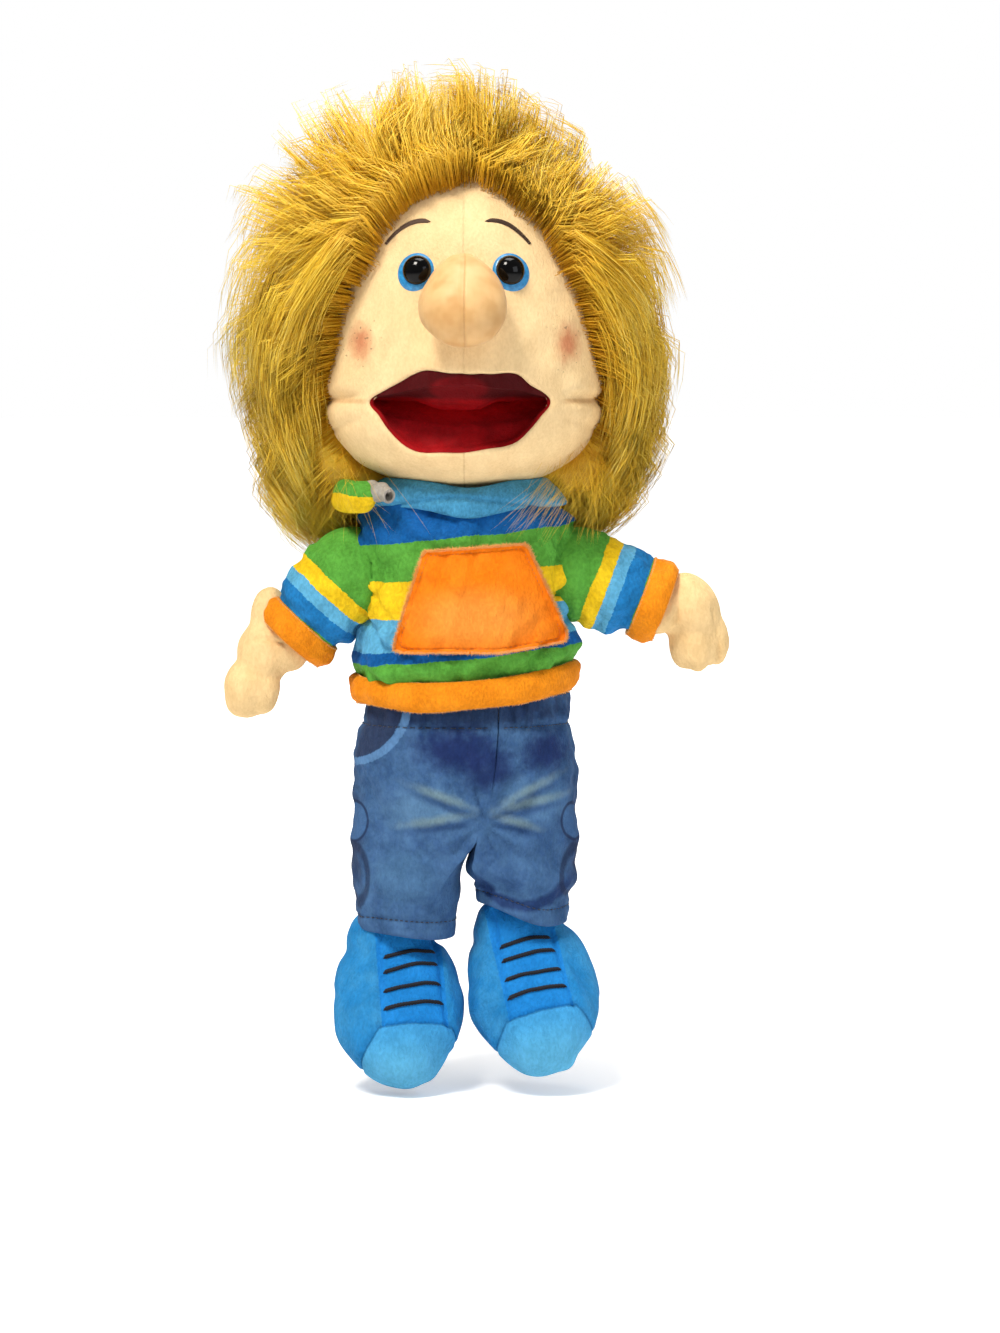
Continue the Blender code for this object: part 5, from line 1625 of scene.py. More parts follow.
class Arm:
    """One arm: the striped sleeve, its cuff and the stuffed hand."""

    @dataclass(frozen=True)
    class Size:
        """Driving sizes of an arm."""

        shoulder_x: float = 0.050
        shoulder_z: float = 0.058
        root: float = 0.0203
        end: float = 0.0182
        sleeve: float = 0.0302
        cuff: float = 0.0105

    def __init__(self, side: Side, drop: float, size: Size = Size()) -> None:
        """Sets the arm at its angle below the horizontal, in degrees."""
        self.side, self.size = side, size
        a = math.radians(drop)
        self.origin = np.array([side.value * size.shoulder_x, AXIS_Y, size.shoulder_z])
        self.ahead = np.array([side.value * math.cos(a), 0, -math.sin(a)])
        self.down = np.array([-side.value * math.sin(a), 0, -math.cos(a)])

    def tube(self, u: np.ndarray, far: np.ndarray, radius: np.ndarray, seed: int, crumple: float) -> np.ndarray:
        """Points round the arm at a distance from the shoulder."""
        a = u * 2 * math.pi
        ring = self.down * np.cos(a)[:, None] + FRONT * np.sin(a)[:, None]
        co = self.origin + self.ahead * far[:, None] + ring * radius[:, None]
        soft = crumple * (0.7 * wobble(co, 0.020, seed) + 0.45 * wobble(co, 0.009, seed + 1))
        return co + ring * soft[:, None]

    def sleeve(self) -> bpy.types.Object:
        """The sleeve, with a round head that turns in the armhole and folds where it bends down."""
        size = self.size

        def place(u: np.ndarray, v: np.ndarray) -> np.ndarray:
            far = -0.0200 + v * (size.sleeve + 0.0200)
            ball = np.sqrt(np.clip(size.root**2 - np.minimum(far, 0) ** 2, 0, 1))
            radius = np.where(far < 0, ball, size.root + (size.end - size.root) * smooth(0, size.sleeve, far))
            radius = radius - 0.0016 * smooth(0.86, 1.0, v) + 0.0010 * bell(far - size.sleeve * 0.62, 0.006)
            # Under the arm the cloth is too long, and folds.
            under = np.clip(np.cos(u * 2 * math.pi), 0, 1) ** 2
            fold = 0.0009 * np.sin(far * 640 + 2.0 * np.sin(u * 6.3)) * under * smooth(0.002, 0.010, far)
            outer = smooth(-0.002, 0.004, far)
            creased = self.tube(u, far, radius + fold, 80 + self.side.value, 0.0015)
            ball_joint = self.tube(u, far, radius, 80, 0.0)
            return creased * outer[:, None] + ball_joint * (1 - outer)[:, None]

        piece = surface("sleeve_cloth_" + self.side.word, 128, 72, place)
        refine(piece, 0, 0.0012)
        body = "arm_" + self.side.word
        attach(piece, body)
        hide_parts("sleeve_" + self.side.word)

        def far(made: Finish) -> Any:
            moved = made.add("VectorMath", {0: made.place, 1: tuple(self.origin)}, operation="SUBTRACT").outputs[0]
            run = made.add("VectorMath", {0: moved, 1: tuple(self.ahead)}, operation="DOT_PRODUCT").outputs["Value"]
            return made.sum("ADD", run, 0.02)

        stops = [(0.0, GREEN), (0.0268, YELLOW), (0.0338, SKY), (0.0400, BLUE), (0.0488, GREEN)]
        return dress(piece, plush_striped("sleeve_stripes_" + self.side.word, far, stops, 0.05), "stripe_blue")

    def cuff(self) -> bpy.types.Object:
        """The orange cuff, a thick fold turned in at its mouth."""
        size = self.size

        def place(u: np.ndarray, v: np.ndarray) -> np.ndarray:
            profile = [
                (0.0, -0.0008, 0.0150), (0.10, -0.0012, 0.0172), (0.22, 0.0012, 0.0187),
                (0.45, 0.0048, 0.0191), (0.66, 0.0084, 0.0186), (0.76, 0.0104, 0.0170),
                (0.84, 0.0108, 0.0148), (0.92, 0.0096, 0.0132), (1.0, 0.0060, 0.0126),
            ]
            far, radius = through(profile, v).T
            return self.tube(u, far + size.sleeve, radius, 90 + self.side.value, 0.0009)

        piece = surface("cuff_band_" + self.side.word, 112, 48, place)
        body = "arm_" + self.side.word
        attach(piece, body)
        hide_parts("cuff_" + self.side.word)
        dress(piece, orange_plush(), "orange")
        t = np.linspace(0, 1, 300)
        for tag, at, forward in (("in", 0.14, -1.0), ("out", 0.77, 1.0)):
            edge = place(t, np.full_like(t, at))
            out = unit(edge - (self.origin + self.ahead * ((edge - self.origin) @ self.ahead)[:, None]))
            ahead = np.tile(self.ahead * forward, (300, 1))
            name = f"cuff_fuzz_{tag}_{self.side.word}"
            orange_fuzz(fringe(name, edge, ahead, out, 0.0012, 1300, 93 + int(forward)), body)
        return piece

    def hand(self) -> bpy.types.Object:
        """A mitten of cream velour, with a thumb and fingers parted by stitching."""
        o, y = self.origin, AXIS_Y
        wrist = o + self.ahead * 0.0440
        arm = (o + self.ahead * 0.0270, (0.0112, 0.0108, 0.0230), self.ahead)
        if self.side is Side.LEFT:
            parts = [
                arm, (wrist + [0.0010, 0, 0.0000], (0.0120, 0.0115, 0.0120), self.ahead),
                ((0.0995, y, 0.0425), (0.0135, 0.0125, 0.0160), (0.45, 0, -0.9)),
                ((0.1020, y - 0.0040, 0.0280), (0.0062, 0.0076, 0.0135), (0.10, 0, -1.0)),
                ((0.0975, y - 0.0020, 0.0275), (0.0062, 0.0078, 0.0120), (0.02, 0, -1.0)),
                ((0.1085, y - 0.0010, 0.0300), (0.0058, 0.0080, 0.0135), (0.25, 0, -1.0)),
                ((0.1060, y + 0.0040, 0.0290), (0.0066, 0.0070, 0.0135), (0.25, 0, -1.0)),
                ((0.0865, y - 0.0070, 0.0390), (0.0070, 0.0070, 0.0100), (-0.75, -0.25, -0.55)),
            ]
            slits = [
                [(0.1052, y - 0.0125, 0.0300), (0.1060, y - 0.012, 0.0160), (0.1060, y, 0.0130)],
                [(0.1100, y - 0.009, 0.0420), (0.1120, y - 0.008, 0.0300), (0.1125, y - 0.004, 0.0180)],
                [(0.0925, y - 0.0120, 0.0330), (0.0935, y - 0.0110, 0.0440)],
            ]
        else:
            parts = [
                arm, (wrist, (0.0120, 0.0115, 0.0120), self.ahead),
                ((-0.0880, y, 0.0230), (0.0128, 0.0125, 0.0165), (-0.30, 0, -1.0)),
                ((-0.0955, y - 0.0020, 0.0080), (0.0108, 0.0108, 0.0150), (-0.25, 0, -1.0)),
                ((-0.0900, y - 0.0040, 0.0068), (0.0075, 0.0085, 0.0120), (-0.10, 0, -1.0)),
                ((-0.0862, y - 0.0010, 0.0385), (0.0078, 0.0080, 0.0135), (0.05, 0, 1.0)),
            ]
            slits = [
                [
                    (-0.1080, y - 0.003, 0.0130), (-0.1000, y - 0.0125, 0.0170),
                    (-0.0890, y - 0.0130, 0.0120), (-0.0850, y - 0.0110, 0.0000),
                ],
                [(-0.0800, y - 0.0115, 0.0280), (-0.0900, y - 0.0125, 0.0305), (-0.0985, y - 0.009, 0.0290)],
            ]
        piece = lump("hand_mitten_" + self.side.word, parts, 0.0011, 7)
        for path in slits:
            groove(piece, path, 0.0011, 0.0018)
        soften(piece, 0.018, 0.0005, 99)
        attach(piece, "arm_" + self.side.word)
        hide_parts("hand_" + self.side.word)
        cloth = plush_plain("hand_velour", "F4D096", shade=0.16, pile=0.6 * MM, nap=6 * MM, depth=0.22 * MM)
        return dress(piece, cloth, "skin")

    def build(self) -> None:
        """Makes the arm."""
        self.sleeve()
        self.cuff()
        self.hand()


def denim_finish(name: str) -> bpy.types.Material:
    """Short plush printed to look like worn jeans: dye patches, pale wear lines and printed pockets."""
    made = Finish(name)
    x, y, z = made.axes()
    patch = made.ease(made.noise(16 * MM, 3.0), 0.32, 0.70)
    tone = made.mix(patch, colour("2E5080"), colour("43699A"))
    fine = made.ease(made.noise(3.2 * MM, 3.0), 0.3, 0.7)
    tone = made.mix(made.sum("MULTIPLY", fine, 0.25), tone, colour("5680A8"))

    def blob(centre: tuple, radii: tuple, angle: float, code: str, strength: float, low: float = 0.25) -> None:
        nonlocal tone
        moved = made.add(
            "Mapping",
            {"Vector": made.place, "Location": centre, "Rotation": (0, math.radians(angle), 0), "Scale": radii},
            vector_type="TEXTURE",
        )
        away = made.add("VectorMath", {0: moved.outputs[0]}, operation="LENGTH").outputs["Value"]
        broken = made.sum("ADD", away, made.sum("MULTIPLY", made.sum("SUBTRACT", made.noise(5 * MM, 3.0), 0.5), 0.7))
        tone = made.mix(made.sum("MULTIPLY", made.ease(broken, low, 1.0, 1.0, 0.0), strength), tone, colour(code))

    f = -0.065
    # Dark dye over the hips and down the sides.
    blob((-0.002, f, -0.0175), (0.029, 0.08, 0.0155), 10, "14265C", 0.92, 0.25)
    blob((0.012, f, -0.0280), (0.018, 0.08, 0.010), -14, "16295C", 0.85, 0.15)
    blob((0.0, f + 0.02, 0.0), (0.06, 0.12, 0.0105), 0, "1A2A50", 0.75, 0.5)
    blob((0.036, f, -0.0190), (0.015, 0.08, 0.0135), 0, "16295C", 0.92, 0.25)
    blob((-0.051, f + 0.03, -0.060), (0.010, 0.08, 0.05), 0, "2A3656", 0.75)
    blob((0.051, f + 0.03, -0.060), (0.009, 0.08, 0.05), 0, "27365E", 0.7)
    # Worn thighs.
    blob((-0.018, f, -0.0440), (0.025, 0.08, 0.014), -4, "6490B8", 0.5)
    blob((0.030, f, -0.0400), (0.020, 0.08, 0.013), 14, "5D88B0", 0.45)
    blob((-0.026, f, -0.0740), (0.022, 0.08, 0.017), 0, "4E7AA4", 0.45)
    # Pale wear lines fanning out from the fork, each with a dark one under it.
    for tip_x, tip_z in ((-0.026, -0.032), (-0.030, -0.0515), (0.044, -0.0275), (0.047, -0.0375), (0.034, -0.0530)):
        dx, dz = tip_x - 0.009, tip_z + 0.045
        reach, angle = math.hypot(dx, dz) / 2, -math.degrees(math.atan2(dz, dx))
        mid = (0.009 + dx * 0.55, f, -0.045 + dz * 0.55)
        blob((mid[0], f, mid[2] - 0.0034), (reach * 1.15, 0.08, 0.0034), angle, "1C3A70", 0.65, 0.1)
        blob(mid, (reach * 1.2, 0.08, 0.0034), angle, "86A09C", 0.52, 0.0)
    # A dark curve under the knee on one leg, along the fold where the leg slumps on the shoe.
    knee = made.near((0.0262, f, -0.0630), (0.0228, 0.3, 0.0238))
    knee = made.sum("ADD", knee, made.sum("MULTIPLY", made.sum("SUBTRACT", made.noise(4 * MM, 3.0), 0.5), 0.12))
    band = made.sum("ABSOLUTE", made.sum("SUBTRACT", knee, 1.0), 0.0)
    lower = made.sum("MULTIPLY", made.ease(z, -0.0800, -0.0700, 1.0, 0.0), made.ease(y, -0.052, -0.042, 1.0, 0.0))
    tone = made.mix(made.sum("MULTIPLY", made.ease(band, 0.05, 0.16, 0.85, 0.0), lower), tone, colour("1A3266"))
    # A printed front pocket: a dark panel with a pale band round it.
    panel = made.near((-0.0560, f, 0.0030), (0.0290, 0.3, 0.0262))
    broken = made.sum("ADD", panel, made.sum("MULTIPLY", made.sum("SUBTRACT", made.noise(1.2 * MM), 0.5), 0.04))
    at_front = made.ease(y, -0.052, -0.042, 1.0, 0.0)
    tone = made.mix(made.sum("MULTIPLY", made.ease(broken, 1.00, 1.02, 0.85, 0.0), at_front), tone, colour("25304E"))
    ring = made.sum("ABSOLUTE", made.sum("SUBTRACT", broken, 1.08), 0.0)
    tone = made.mix(made.sum("MULTIPLY", made.ease(ring, 0.05, 0.075, 0.8, 0.0), at_front), tone, colour("5E8CC0"))
    # Cargo pockets printed on both sides.
    for side in (-1, 1):
        flap = made.near((side * 0.0530, -0.0560, -0.0500), (0.0105, 0.020, 0.0110))
        tone = made.mix(made.ease(flap, 0.96, 1.02, 0.75, 0.0), tone, colour("41689A"))
        rim = made.sum("ABSOLUTE", made.sum("SUBTRACT", flap, 1.0), 0.0)
        tone = made.mix(made.ease(rim, 0.02, 0.07, 0.8, 0.0), tone, colour("1B2A4C"))
        bag = made.near((side * 0.0520, -0.0570, -0.0750), (0.0095, 0.018, 0.0165))
        rim = made.sum("ABSOLUTE", made.sum("SUBTRACT", bag, 1.0), 0.0)
        tone = made.mix(made.ease(rim, 0.05, 0.16, 0.7, 0.0), tone, colour("1E2A48"))
    return pile_finish(made, tone, 0.5 * MM, 7 * MM, 0.18, 0.26 * MM)


class Trousers:
    """Baggy jeans of two halves that meet at a sewn middle seam."""

    @dataclass(frozen=True)
    class Size:
        """Driving sizes of one half of the trousers."""

        top: float = 0.0050
        fork: float = -0.0790
        hem: float = -0.1000
        stations: tuple = (
            # height, outer edge, front, back, leg's middle, leg's half width, leg's half depth
            (-0.1000, 0.0465, -0.0250, 0.0195, 0.0248, 0.0205, 0.0208),
            (-0.0900, 0.0490, -0.0262, 0.0205, 0.0252, 0.0222, 0.0222),
            (-0.0700, 0.0495, -0.0275, 0.0215, 0.0248, 0.0236, 0.0236),
            (-0.0450, 0.0490, -0.0285, 0.0225, 0.0243, 0.0240, 0.0240),
            (-0.0200, 0.0480, -0.0310, 0.0230, 0.0240, 0.0240, 0.0250),
            (-0.0060, 0.0462, -0.0315, 0.0235, 0.0232, 0.0235, 0.0260),
            (0.0050, 0.0445, -0.0300, 0.0230, 0.0225, 0.0225, 0.0255),
        )

    def __init__(self, size: Size = Size()) -> None:
        """Keeps the sizes."""
        self.size = size

    def divide(self, z: np.ndarray) -> np.ndarray:
        """Where the middle seam is at each height: it leans, as the jeans sit a little turned."""
        stops = [
            (-0.100, -0.0050), (-0.079, -0.0042), (-0.0648, 0.0028), (-0.0516, 0.0078),
            (-0.0465, 0.0098), (-0.0369, 0.0118), (-0.012, 0.0145), (0.010, 0.0150),
        ]
        return through(stops, z.ravel())[:, 0].reshape(z.shape)

    def ring(self, side: Side, u: np.ndarray, z: np.ndarray) -> np.ndarray:
        """Points round one half: from the seam in front by the outer side to the back, and back along it."""
        outer, front, back, middle, wide, deep = through(list(self.size.stations), z).T
        s = side.value
        split = self.divide(z) * s - 0.00006  # measured towards this half
        k = 1 - smooth(-0.086, -0.056, z)
        share = u / 0.70
        edge = u <= 0.70
        # The half oval that follows the body.
        a = -math.pi / 2 + np.clip(share, 0, 1) * math.pi
        start = np.arcsin(np.clip(-split / outer, -0.9, 0.9))
        quarter = math.pi / 2
        wider = (quarter + start) / quarter
        a = np.where(a < 0, -quarter - start + (a + quarter) * wider, a * wider)
        power = 2.35
        c, sn = np.cos(a), np.sin(a)
        r = (np.abs(c) ** power + np.abs(sn) ** power) ** (-1 / power)
        oval_x = outer * c * r
        oval_y = np.where(sn < 0, -sn * front, sn * back) * r
        inner = np.clip((u - 0.70) / 0.30, 0, 1)
        end_y = back * 0.985 * (1 - inner) + front * 0.985 * inner
        oval_x = np.where(edge, np.maximum(oval_x, split), split)
        oval_y = np.where(edge, oval_y, end_y)
        # The round leg below the fork.
        b = np.radians(np.where(edge, -125 + share * 250, 125 + inner * 110))
        leg_x = middle + wide * np.cos(b)
        leg_y = -0.003 + deep * np.sin(b)
        x = oval_x * (1 - k) + leg_x * k
        y = oval_y * (1 - k) + leg_y * k
        return np.stack([s * x, y + AXIS_Y, z], axis=-1)

    def half(self, side: Side) -> bpy.types.Object:
        """One half with its hem turned up inside."""
        size = self.size

        def place(u: np.ndarray, v: np.ndarray) -> np.ndarray:
            z = np.where(v < 0.90, size.top + (size.hem - size.top) * v / 0.90, size.hem)
            co = self.ring(side, u, z)
            # One leg has ridden up, most on its inner side.
            if side is Side.LEFT:
                ride = 0.0062 + 0.0065 * smooth(0.040, 0.004, co[:, 0])
                co[:, 2] += ride * smooth(-0.066, size.hem, z)
            centre = np.array([side.value * 0.0248, AXIS_Y - 0.003, 0.0])
            out = co - centre
            out[:, 2] = 0
            out = unit(out)
            # The hem is folded in: the last rows go round the edge and up inside the leg.
            fold = np.clip((v - 0.90) / 0.10, 0, 1)
            co = co - out * (0.0011 * (1 - np.cos(np.clip(fold * 2, 0, 1) * math.pi)))[:, None]
            tucked = -0.0014 * np.sin(np.clip(fold * 2, 0, 1) * math.pi) + 0.0070 * np.clip(fold * 2 - 1, 0, 1)
            co[:, 2] += np.where(v > 0.90, tucked, 0)
            outside = smooth(0.93, 0.88, v)
            wall = (u > 0.71) & (u < 0.99)
            off_seam = np.abs(co[:, 0] - self.divide(z))
            free = np.where(wall, smooth(-0.072, -0.088, z), 1.0) * smooth(0.0, 0.004, off_seam)
            x = co[:, 0]
            front = smooth(-0.030, -0.052, co[:, 1])
            depth = 0.0011 * wobble(co, 0.034, 140 + side.value) + 0.0006 * wobble(co, 0.011, 141)
            # Drag lines fan out from the fork.
            px, pz = x - 0.008, z + 0.050
            angle = np.arctan2(pz, px * side.value)
            far = np.hypot(px, pz)
            depth += 0.0013 * np.sin(angle * 11 + 0.6) * bell(far - 0.016, 0.013) * front
            # Gathers under the elastic.
            waist = smooth(-0.016, -0.002, z)
            depth += (0.0011 * np.sin(x * 900 + 1.2 * np.sin(x * 260)) - 0.0006) * waist
            depth -= 0.0012 * bell(z + 0.0075, 0.0014)
            # The leg slumps on the shoe in a broad fold, and the hem is pulled in by its stitching.
            slump = z + 0.0830 + 0.10 * (x - side.value * 0.025)
            strength = 0.0016 if side is Side.LEFT else 0.0008
            depth += strength * (bell(slump - 0.006, 0.006) - 0.9 * bell(slump + 0.0035, 0.0045))
            depth -= 0.0008 * bell(z - size.hem - 0.0062, 0.0012)
            co += out * (depth * free * outside)[:, None]
            co[:, 2] += 0.0016 * np.sin(x * 95 + side.value) * smooth(-0.085, -0.100, z)
            return co

        piece = surface("jeans_half_" + side.word, 176, 120, place, weld=1e-6)
        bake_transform(piece)
        names = ["trouser_leg_" + side.word] + (["trouser_seat", "trouser_waistband"] if side is Side.LEFT else [])
        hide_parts(*names)
        name = "printed_denim_plush"
        dress(piece, bpy.data.materials.get(name) or denim_finish(name), "denim")
        self.stitch(side, place)
        return piece

    def stitch(self, side: Side, place: Callable) -> None:
        """The dark thread above the hem, and on one half the line under the waistband."""
        size = self.size
        tall = size.top - size.hem
        rows = (
            ("hem", (size.top - (size.hem + 0.0062)) / tall * 0.90, 0.0, 1.0, 54, "leg_" + side.word),
            ("waist", (size.top + 0.0078) / tall * 0.90, 0.01, 0.69, 46, "torso"),
        )
        for tag, v, start, end, count, body in rows:
            lines = []
            for i in range(count):
                a = start + (end - start) * (i + 0.12) / count
                b = start + (end - start) * (i + 0.86) / count
                u = np.linspace(a, b, 5)
                run = place(u, np.full(5, v))
                centre = np.array([side.value * 0.0248, AXIS_Y - 0.003, 0.0])
                out = run - centre
                out[:, 2] = 0
                lift = np.array([-0.0001, 0.0003, 0.0004, 0.0003, -0.0001])
                lines.append(run + unit(out) * lift[:, None])
            shades = np.random.default_rng(5).uniform(0, 1, count)
            name = f"jeans_{tag}_stitches_{side.word}"
            made = strands(name, np.array(lines), np.full((count, 5), 0.00022), shades)
            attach(made, body)
            dress(made, thread("navy_thread", "070B18", "141B33"), "denim")

    def build(self) -> None:
        """Makes both halves."""
        for side in Side:
            self.half(side)


class Shoe:
    """A stuffed plush shoe that points down, with a sewn tongue, a toe cap and embroidered lace bars."""

    @dataclass(frozen=True)
    class Size:
        """Driving sizes of a shoe."""

        tilt: float = 55.0
        half_width: float = 0.0292
        half_length: float = 0.0365
        half_height: float = 0.0205
        forward: float = 0.0345
        drop: float = 0.0090
        cap: float = 0.0140
        tongue: float = 0.0158

    def __init__(self, side: Side, toe_out: float, ankle: tuple[float, float, float], shift: float) -> None:
        """Sets the shoe with its toe turned out by some degrees and its tongue shifted across."""
        self.side, self.size, self.shift = side, Shoe.Size(), shift
        size = self.size
        tilt, yaw = math.radians(size.tilt), math.radians(toe_out) * side.value
        ahead = np.array([0, -math.cos(tilt), -math.sin(tilt)])
        across = np.array([1.0, 0, 0])
        self.up = np.array([0, -math.sin(tilt), math.cos(tilt)])
        # The toe swings out about the shoe's own upright.
        self.ahead = ahead * math.cos(yaw) + across * math.sin(yaw)
        self.across = across * math.cos(yaw) - ahead * math.sin(yaw)
        self.ankle = np.array(ankle)
        self.middle = self.ankle + self.ahead * size.forward - self.up * size.drop

    def local(self, co: np.ndarray) -> np.ndarray:
        """Places measured across, along and up from the shoe's middle."""
        d = co - self.middle
        return np.stack([d @ self.across, d @ self.ahead, d @ self.up], axis=-1)

    def cap_line(self, across: np.ndarray) -> np.ndarray:
        """Where the toe cap starts: straight over the tongue, and running down to the toe beside it."""
        beside = np.maximum(np.abs(across - self.shift) - self.size.tongue, 0)
        return self.size.cap - 0.04 * across + 1.05 * beside

    def lines(self) -> list[np.ndarray]:
        """The sewn lines as rows of (across, along)."""
        size = self.size
        t = np.linspace(-0.034, 0.034, 69)
        lines = [np.stack([t, self.cap_line(t)], axis=-1)]
        for s in (-1, 1):
            run = np.linspace(-0.036, size.cap - 0.0005, 31)
            lines.append(np.stack([self.shift + s * (size.tongue - 0.0010 + (run - size.cap) * 0.06), run], axis=-1))
        return lines

    def upper(self) -> bpy.types.Object:
        """The stuffed shoe with its seams pressed in."""
        size = self.size
        heel = self.middle - self.ahead * 0.0130 + self.up * 0.0010
        parts = (
            (self.middle, (size.half_width, size.half_height, size.half_length)),
            (heel, (size.half_width * 0.95, size.half_height * 0.98, 0.0265)),
        )
        made = bmesh.new()
        for centre, radii in parts:
            wide, tall, long = radii
            axes = (self.across * wide, self.ahead * long, self.up * tall)
            rows = [axis.tolist() + [0] for axis in axes]
            matrix = Matrix((*rows, [0, 0, 0, 1])).transposed()
            matrix.translation = Vector(centre)
            bmesh.ops.create_uvsphere(made, u_segments=56, v_segments=40, radius=1.0, matrix=matrix)
        # The ankle's ball goes up into the trouser leg.
        ball = Matrix.Translation(Vector(self.ankle + np.array([0, 0.0005, -0.0045])))
        ball = ball @ Matrix.Diagonal((0.0200, 0.0180, 0.0200, 1.0))
        bmesh.ops.create_uvsphere(made, u_segments=40, v_segments=28, radius=1.0, matrix=ball)
        bmesh.ops.recalc_face_normals(made, faces=made.faces)
        piece = grow(keep("shoe_plush_" + self.side.word, made), 0.0011, 10)
        co, out = places(piece), normals(piece)
        at = self.local(co)
        top = smooth(-0.004, 0.004, at[:, 2])
        # The toe is drawn in narrower than the heel.
        narrow = 0.17 * smooth(0.002, 0.036, at[:, 1])
        co = co - self.across * (at[:, 0] * narrow)[:, None]
        at = self.local(co)
        depth = np.zeros(len(co))
        for number, line in enumerate(self.lines()):
            near = np.full(len(co), 1.0)
            for a, b in zip(line[:-1], line[1:]):
                t = np.clip(((at[:, :2] - a) @ (b - a)) / ((b - a) ** 2).sum(), 0, 1)
                near = np.minimum(near, np.linalg.norm(at[:, :2] - (a + t[:, None] * (b - a)), axis=1))
            depth -= 0.0011 * bell(near, 0.0010) * (1.0 if number == 0 else top)
            depth += 0.0005 * bell(near - 0.0028, 0.0020) * top
        # The sole's edge, a seam all round the underside.
        depth -= 0.0009 * bell(at[:, 2] + 0.0085, 0.0010)
        depth += 0.0008 * wobble(co, 0.022, 160 + self.side.value)
        # The tuft of the upper is drawn in where the lace bars are stitched through.
        on_tongue = smooth(size.tongue, size.tongue * 0.7, np.abs(at[:, 0] - self.shift))
        panel = on_tongue * smooth(size.cap, size.cap - 0.004, at[:, 1]) * top
        depth -= 0.0007 * panel
        put(piece, co + out * depth[:, None])
        body = "foot_" + self.side.word
        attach(piece, body)
        s = self.side.word
        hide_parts("shoe_upper_" + s, "shoe_toe_" + s, "shoe_sole_" + s)
        return dress(piece, self.finish(), "shoe_blue")

    def finish(self) -> bpy.types.Material:
        """Bright blue plush, brushed paler over the toe cap, with sunk seams."""
        size = self.size
        made = Finish("shoe_plush_" + self.side.word)
        moved = made.add("VectorMath", {0: made.place, 1: tuple(self.middle)}, operation="SUBTRACT").outputs[0]
        x, run, high = (
            made.add("VectorMath", {0: moved, 1: tuple(axis)}, operation="DOT_PRODUCT").outputs["Value"]
            for axis in (self.across, self.ahead, self.up)
        )
        aside = made.sum("ABSOLUTE", made.sum("SUBTRACT", x, self.shift), 0.0)
        beside = made.sum("MAXIMUM", made.sum("SUBTRACT", aside, size.tongue), 0.0)
        line = made.sum("ADD", made.sum("MULTIPLY", beside, 1.05), made.sum("MULTIPLY", x, -0.04))
        ragged = made.sum("MULTIPLY", made.sum("SUBTRACT", made.noise(1.2 * MM), 0.5), 0.0010)
        past = made.sum("ADD", made.sum("SUBTRACT", made.sum("SUBTRACT", run, line), size.cap), ragged)
        cap = made.ease(past, -0.0003, 0.0003)
        panel_x = made.ease(made.sum("ADD", aside, ragged), size.tongue - 0.0016, size.tongue - 0.0010, 1.0, 0.0)
        panel = made.sum("MULTIPLY", panel_x, made.sum("SUBTRACT", 1.0, cap))
        patch = made.ease(made.noise(13 * MM, 3.0), 0.3, 0.7)
        side = made.mix(patch, colour("1F84CC"), colour("3894D4"))
        tone = made.mix(panel, side, colour("1A86DE"))
        toe = made.mix(made.ease(run, size.cap, size.half_length, 0.0, 1.0), colour("3E9FE2"), colour("62BDEE"))
        tone = made.mix(cap, tone, toe)
        sole = made.ease(high, -0.0086, -0.0078, 1.0, 0.0)
        tone = made.mix(sole, tone, colour("2B84BE"))
        seam = made.ease(made.sum("ABSOLUTE", past, 0.0), 0.0003, 0.0010, 0.5, 0.0)
        tone = made.mix(seam, tone, colour("0F5288"))
        return pile_finish(made, tone, 0.55 * MM, 8 * MM, 0.20, 0.36 * MM)

    def laces(self, piece: bpy.types.Object) -> None:
        """Four bars of twisted black thread, embroidered across the tongue."""
        tree = BVHTree.FromObject(piece, bpy.context.evaluated_depsgraph_get())
        size = self.size
        for bar in range(4):
            run = (-0.0192, -0.0122, -0.0030, 0.0054)[bar]
            half = 0.0116 + 0.0006 * bar
            t = np.linspace(-1, 1, 41)
            path = []
            for value in t:
                along = run - 0.0008 * (1 - value**2) - (0.0002 if self.side is Side.LEFT else 0.0020) * value
                at = self.middle + self.across * (value * half + self.shift) + self.ahead * along + self.up * 0.05
                hit = tree.ray_cast(Vector(at), Vector(-self.up))
                spot = np.array(hit[0]) if hit[0] is not None else at
                path.append(spot)
            path = np.array(path)
            along = unit(np.gradient(path, axis=0))
            side_way = unit(np.cross(along, self.up))
            plies, radii = [], []
            for ply in range(3):
                phase = 2 * math.pi * ply / 3
                turns = np.linspace(0, 7 * 2 * math.pi, 41) + phase
                ease = np.clip((1 - np.abs(t)) * 12, 0.25, 1)
                twist = side_way * np.cos(turns)[:, None] + self.up * np.sin(turns)[:, None]
                plies.append(path + self.up * 0.0003 + twist * (0.00052 * ease)[:, None])
                radii.append(0.00062 * ease)
            name = f"lace_bar_{bar + 1}_{self.side.word}"
            made = strands(name, np.array(plies), np.array(radii), np.array([0.2, 0.5, 0.8]))
            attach(made, "foot_" + self.side.word)
            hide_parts(f"lace_{self.side.word}_{bar + 1}")
            dress(made, thread("lace_thread", "0A0C12", "20242E"), "lace_thread")

    def build(self) -> None:
        """Makes the shoe."""
        self.laces(self.upper())


# ---------------------------------------------------------------- inner pieces


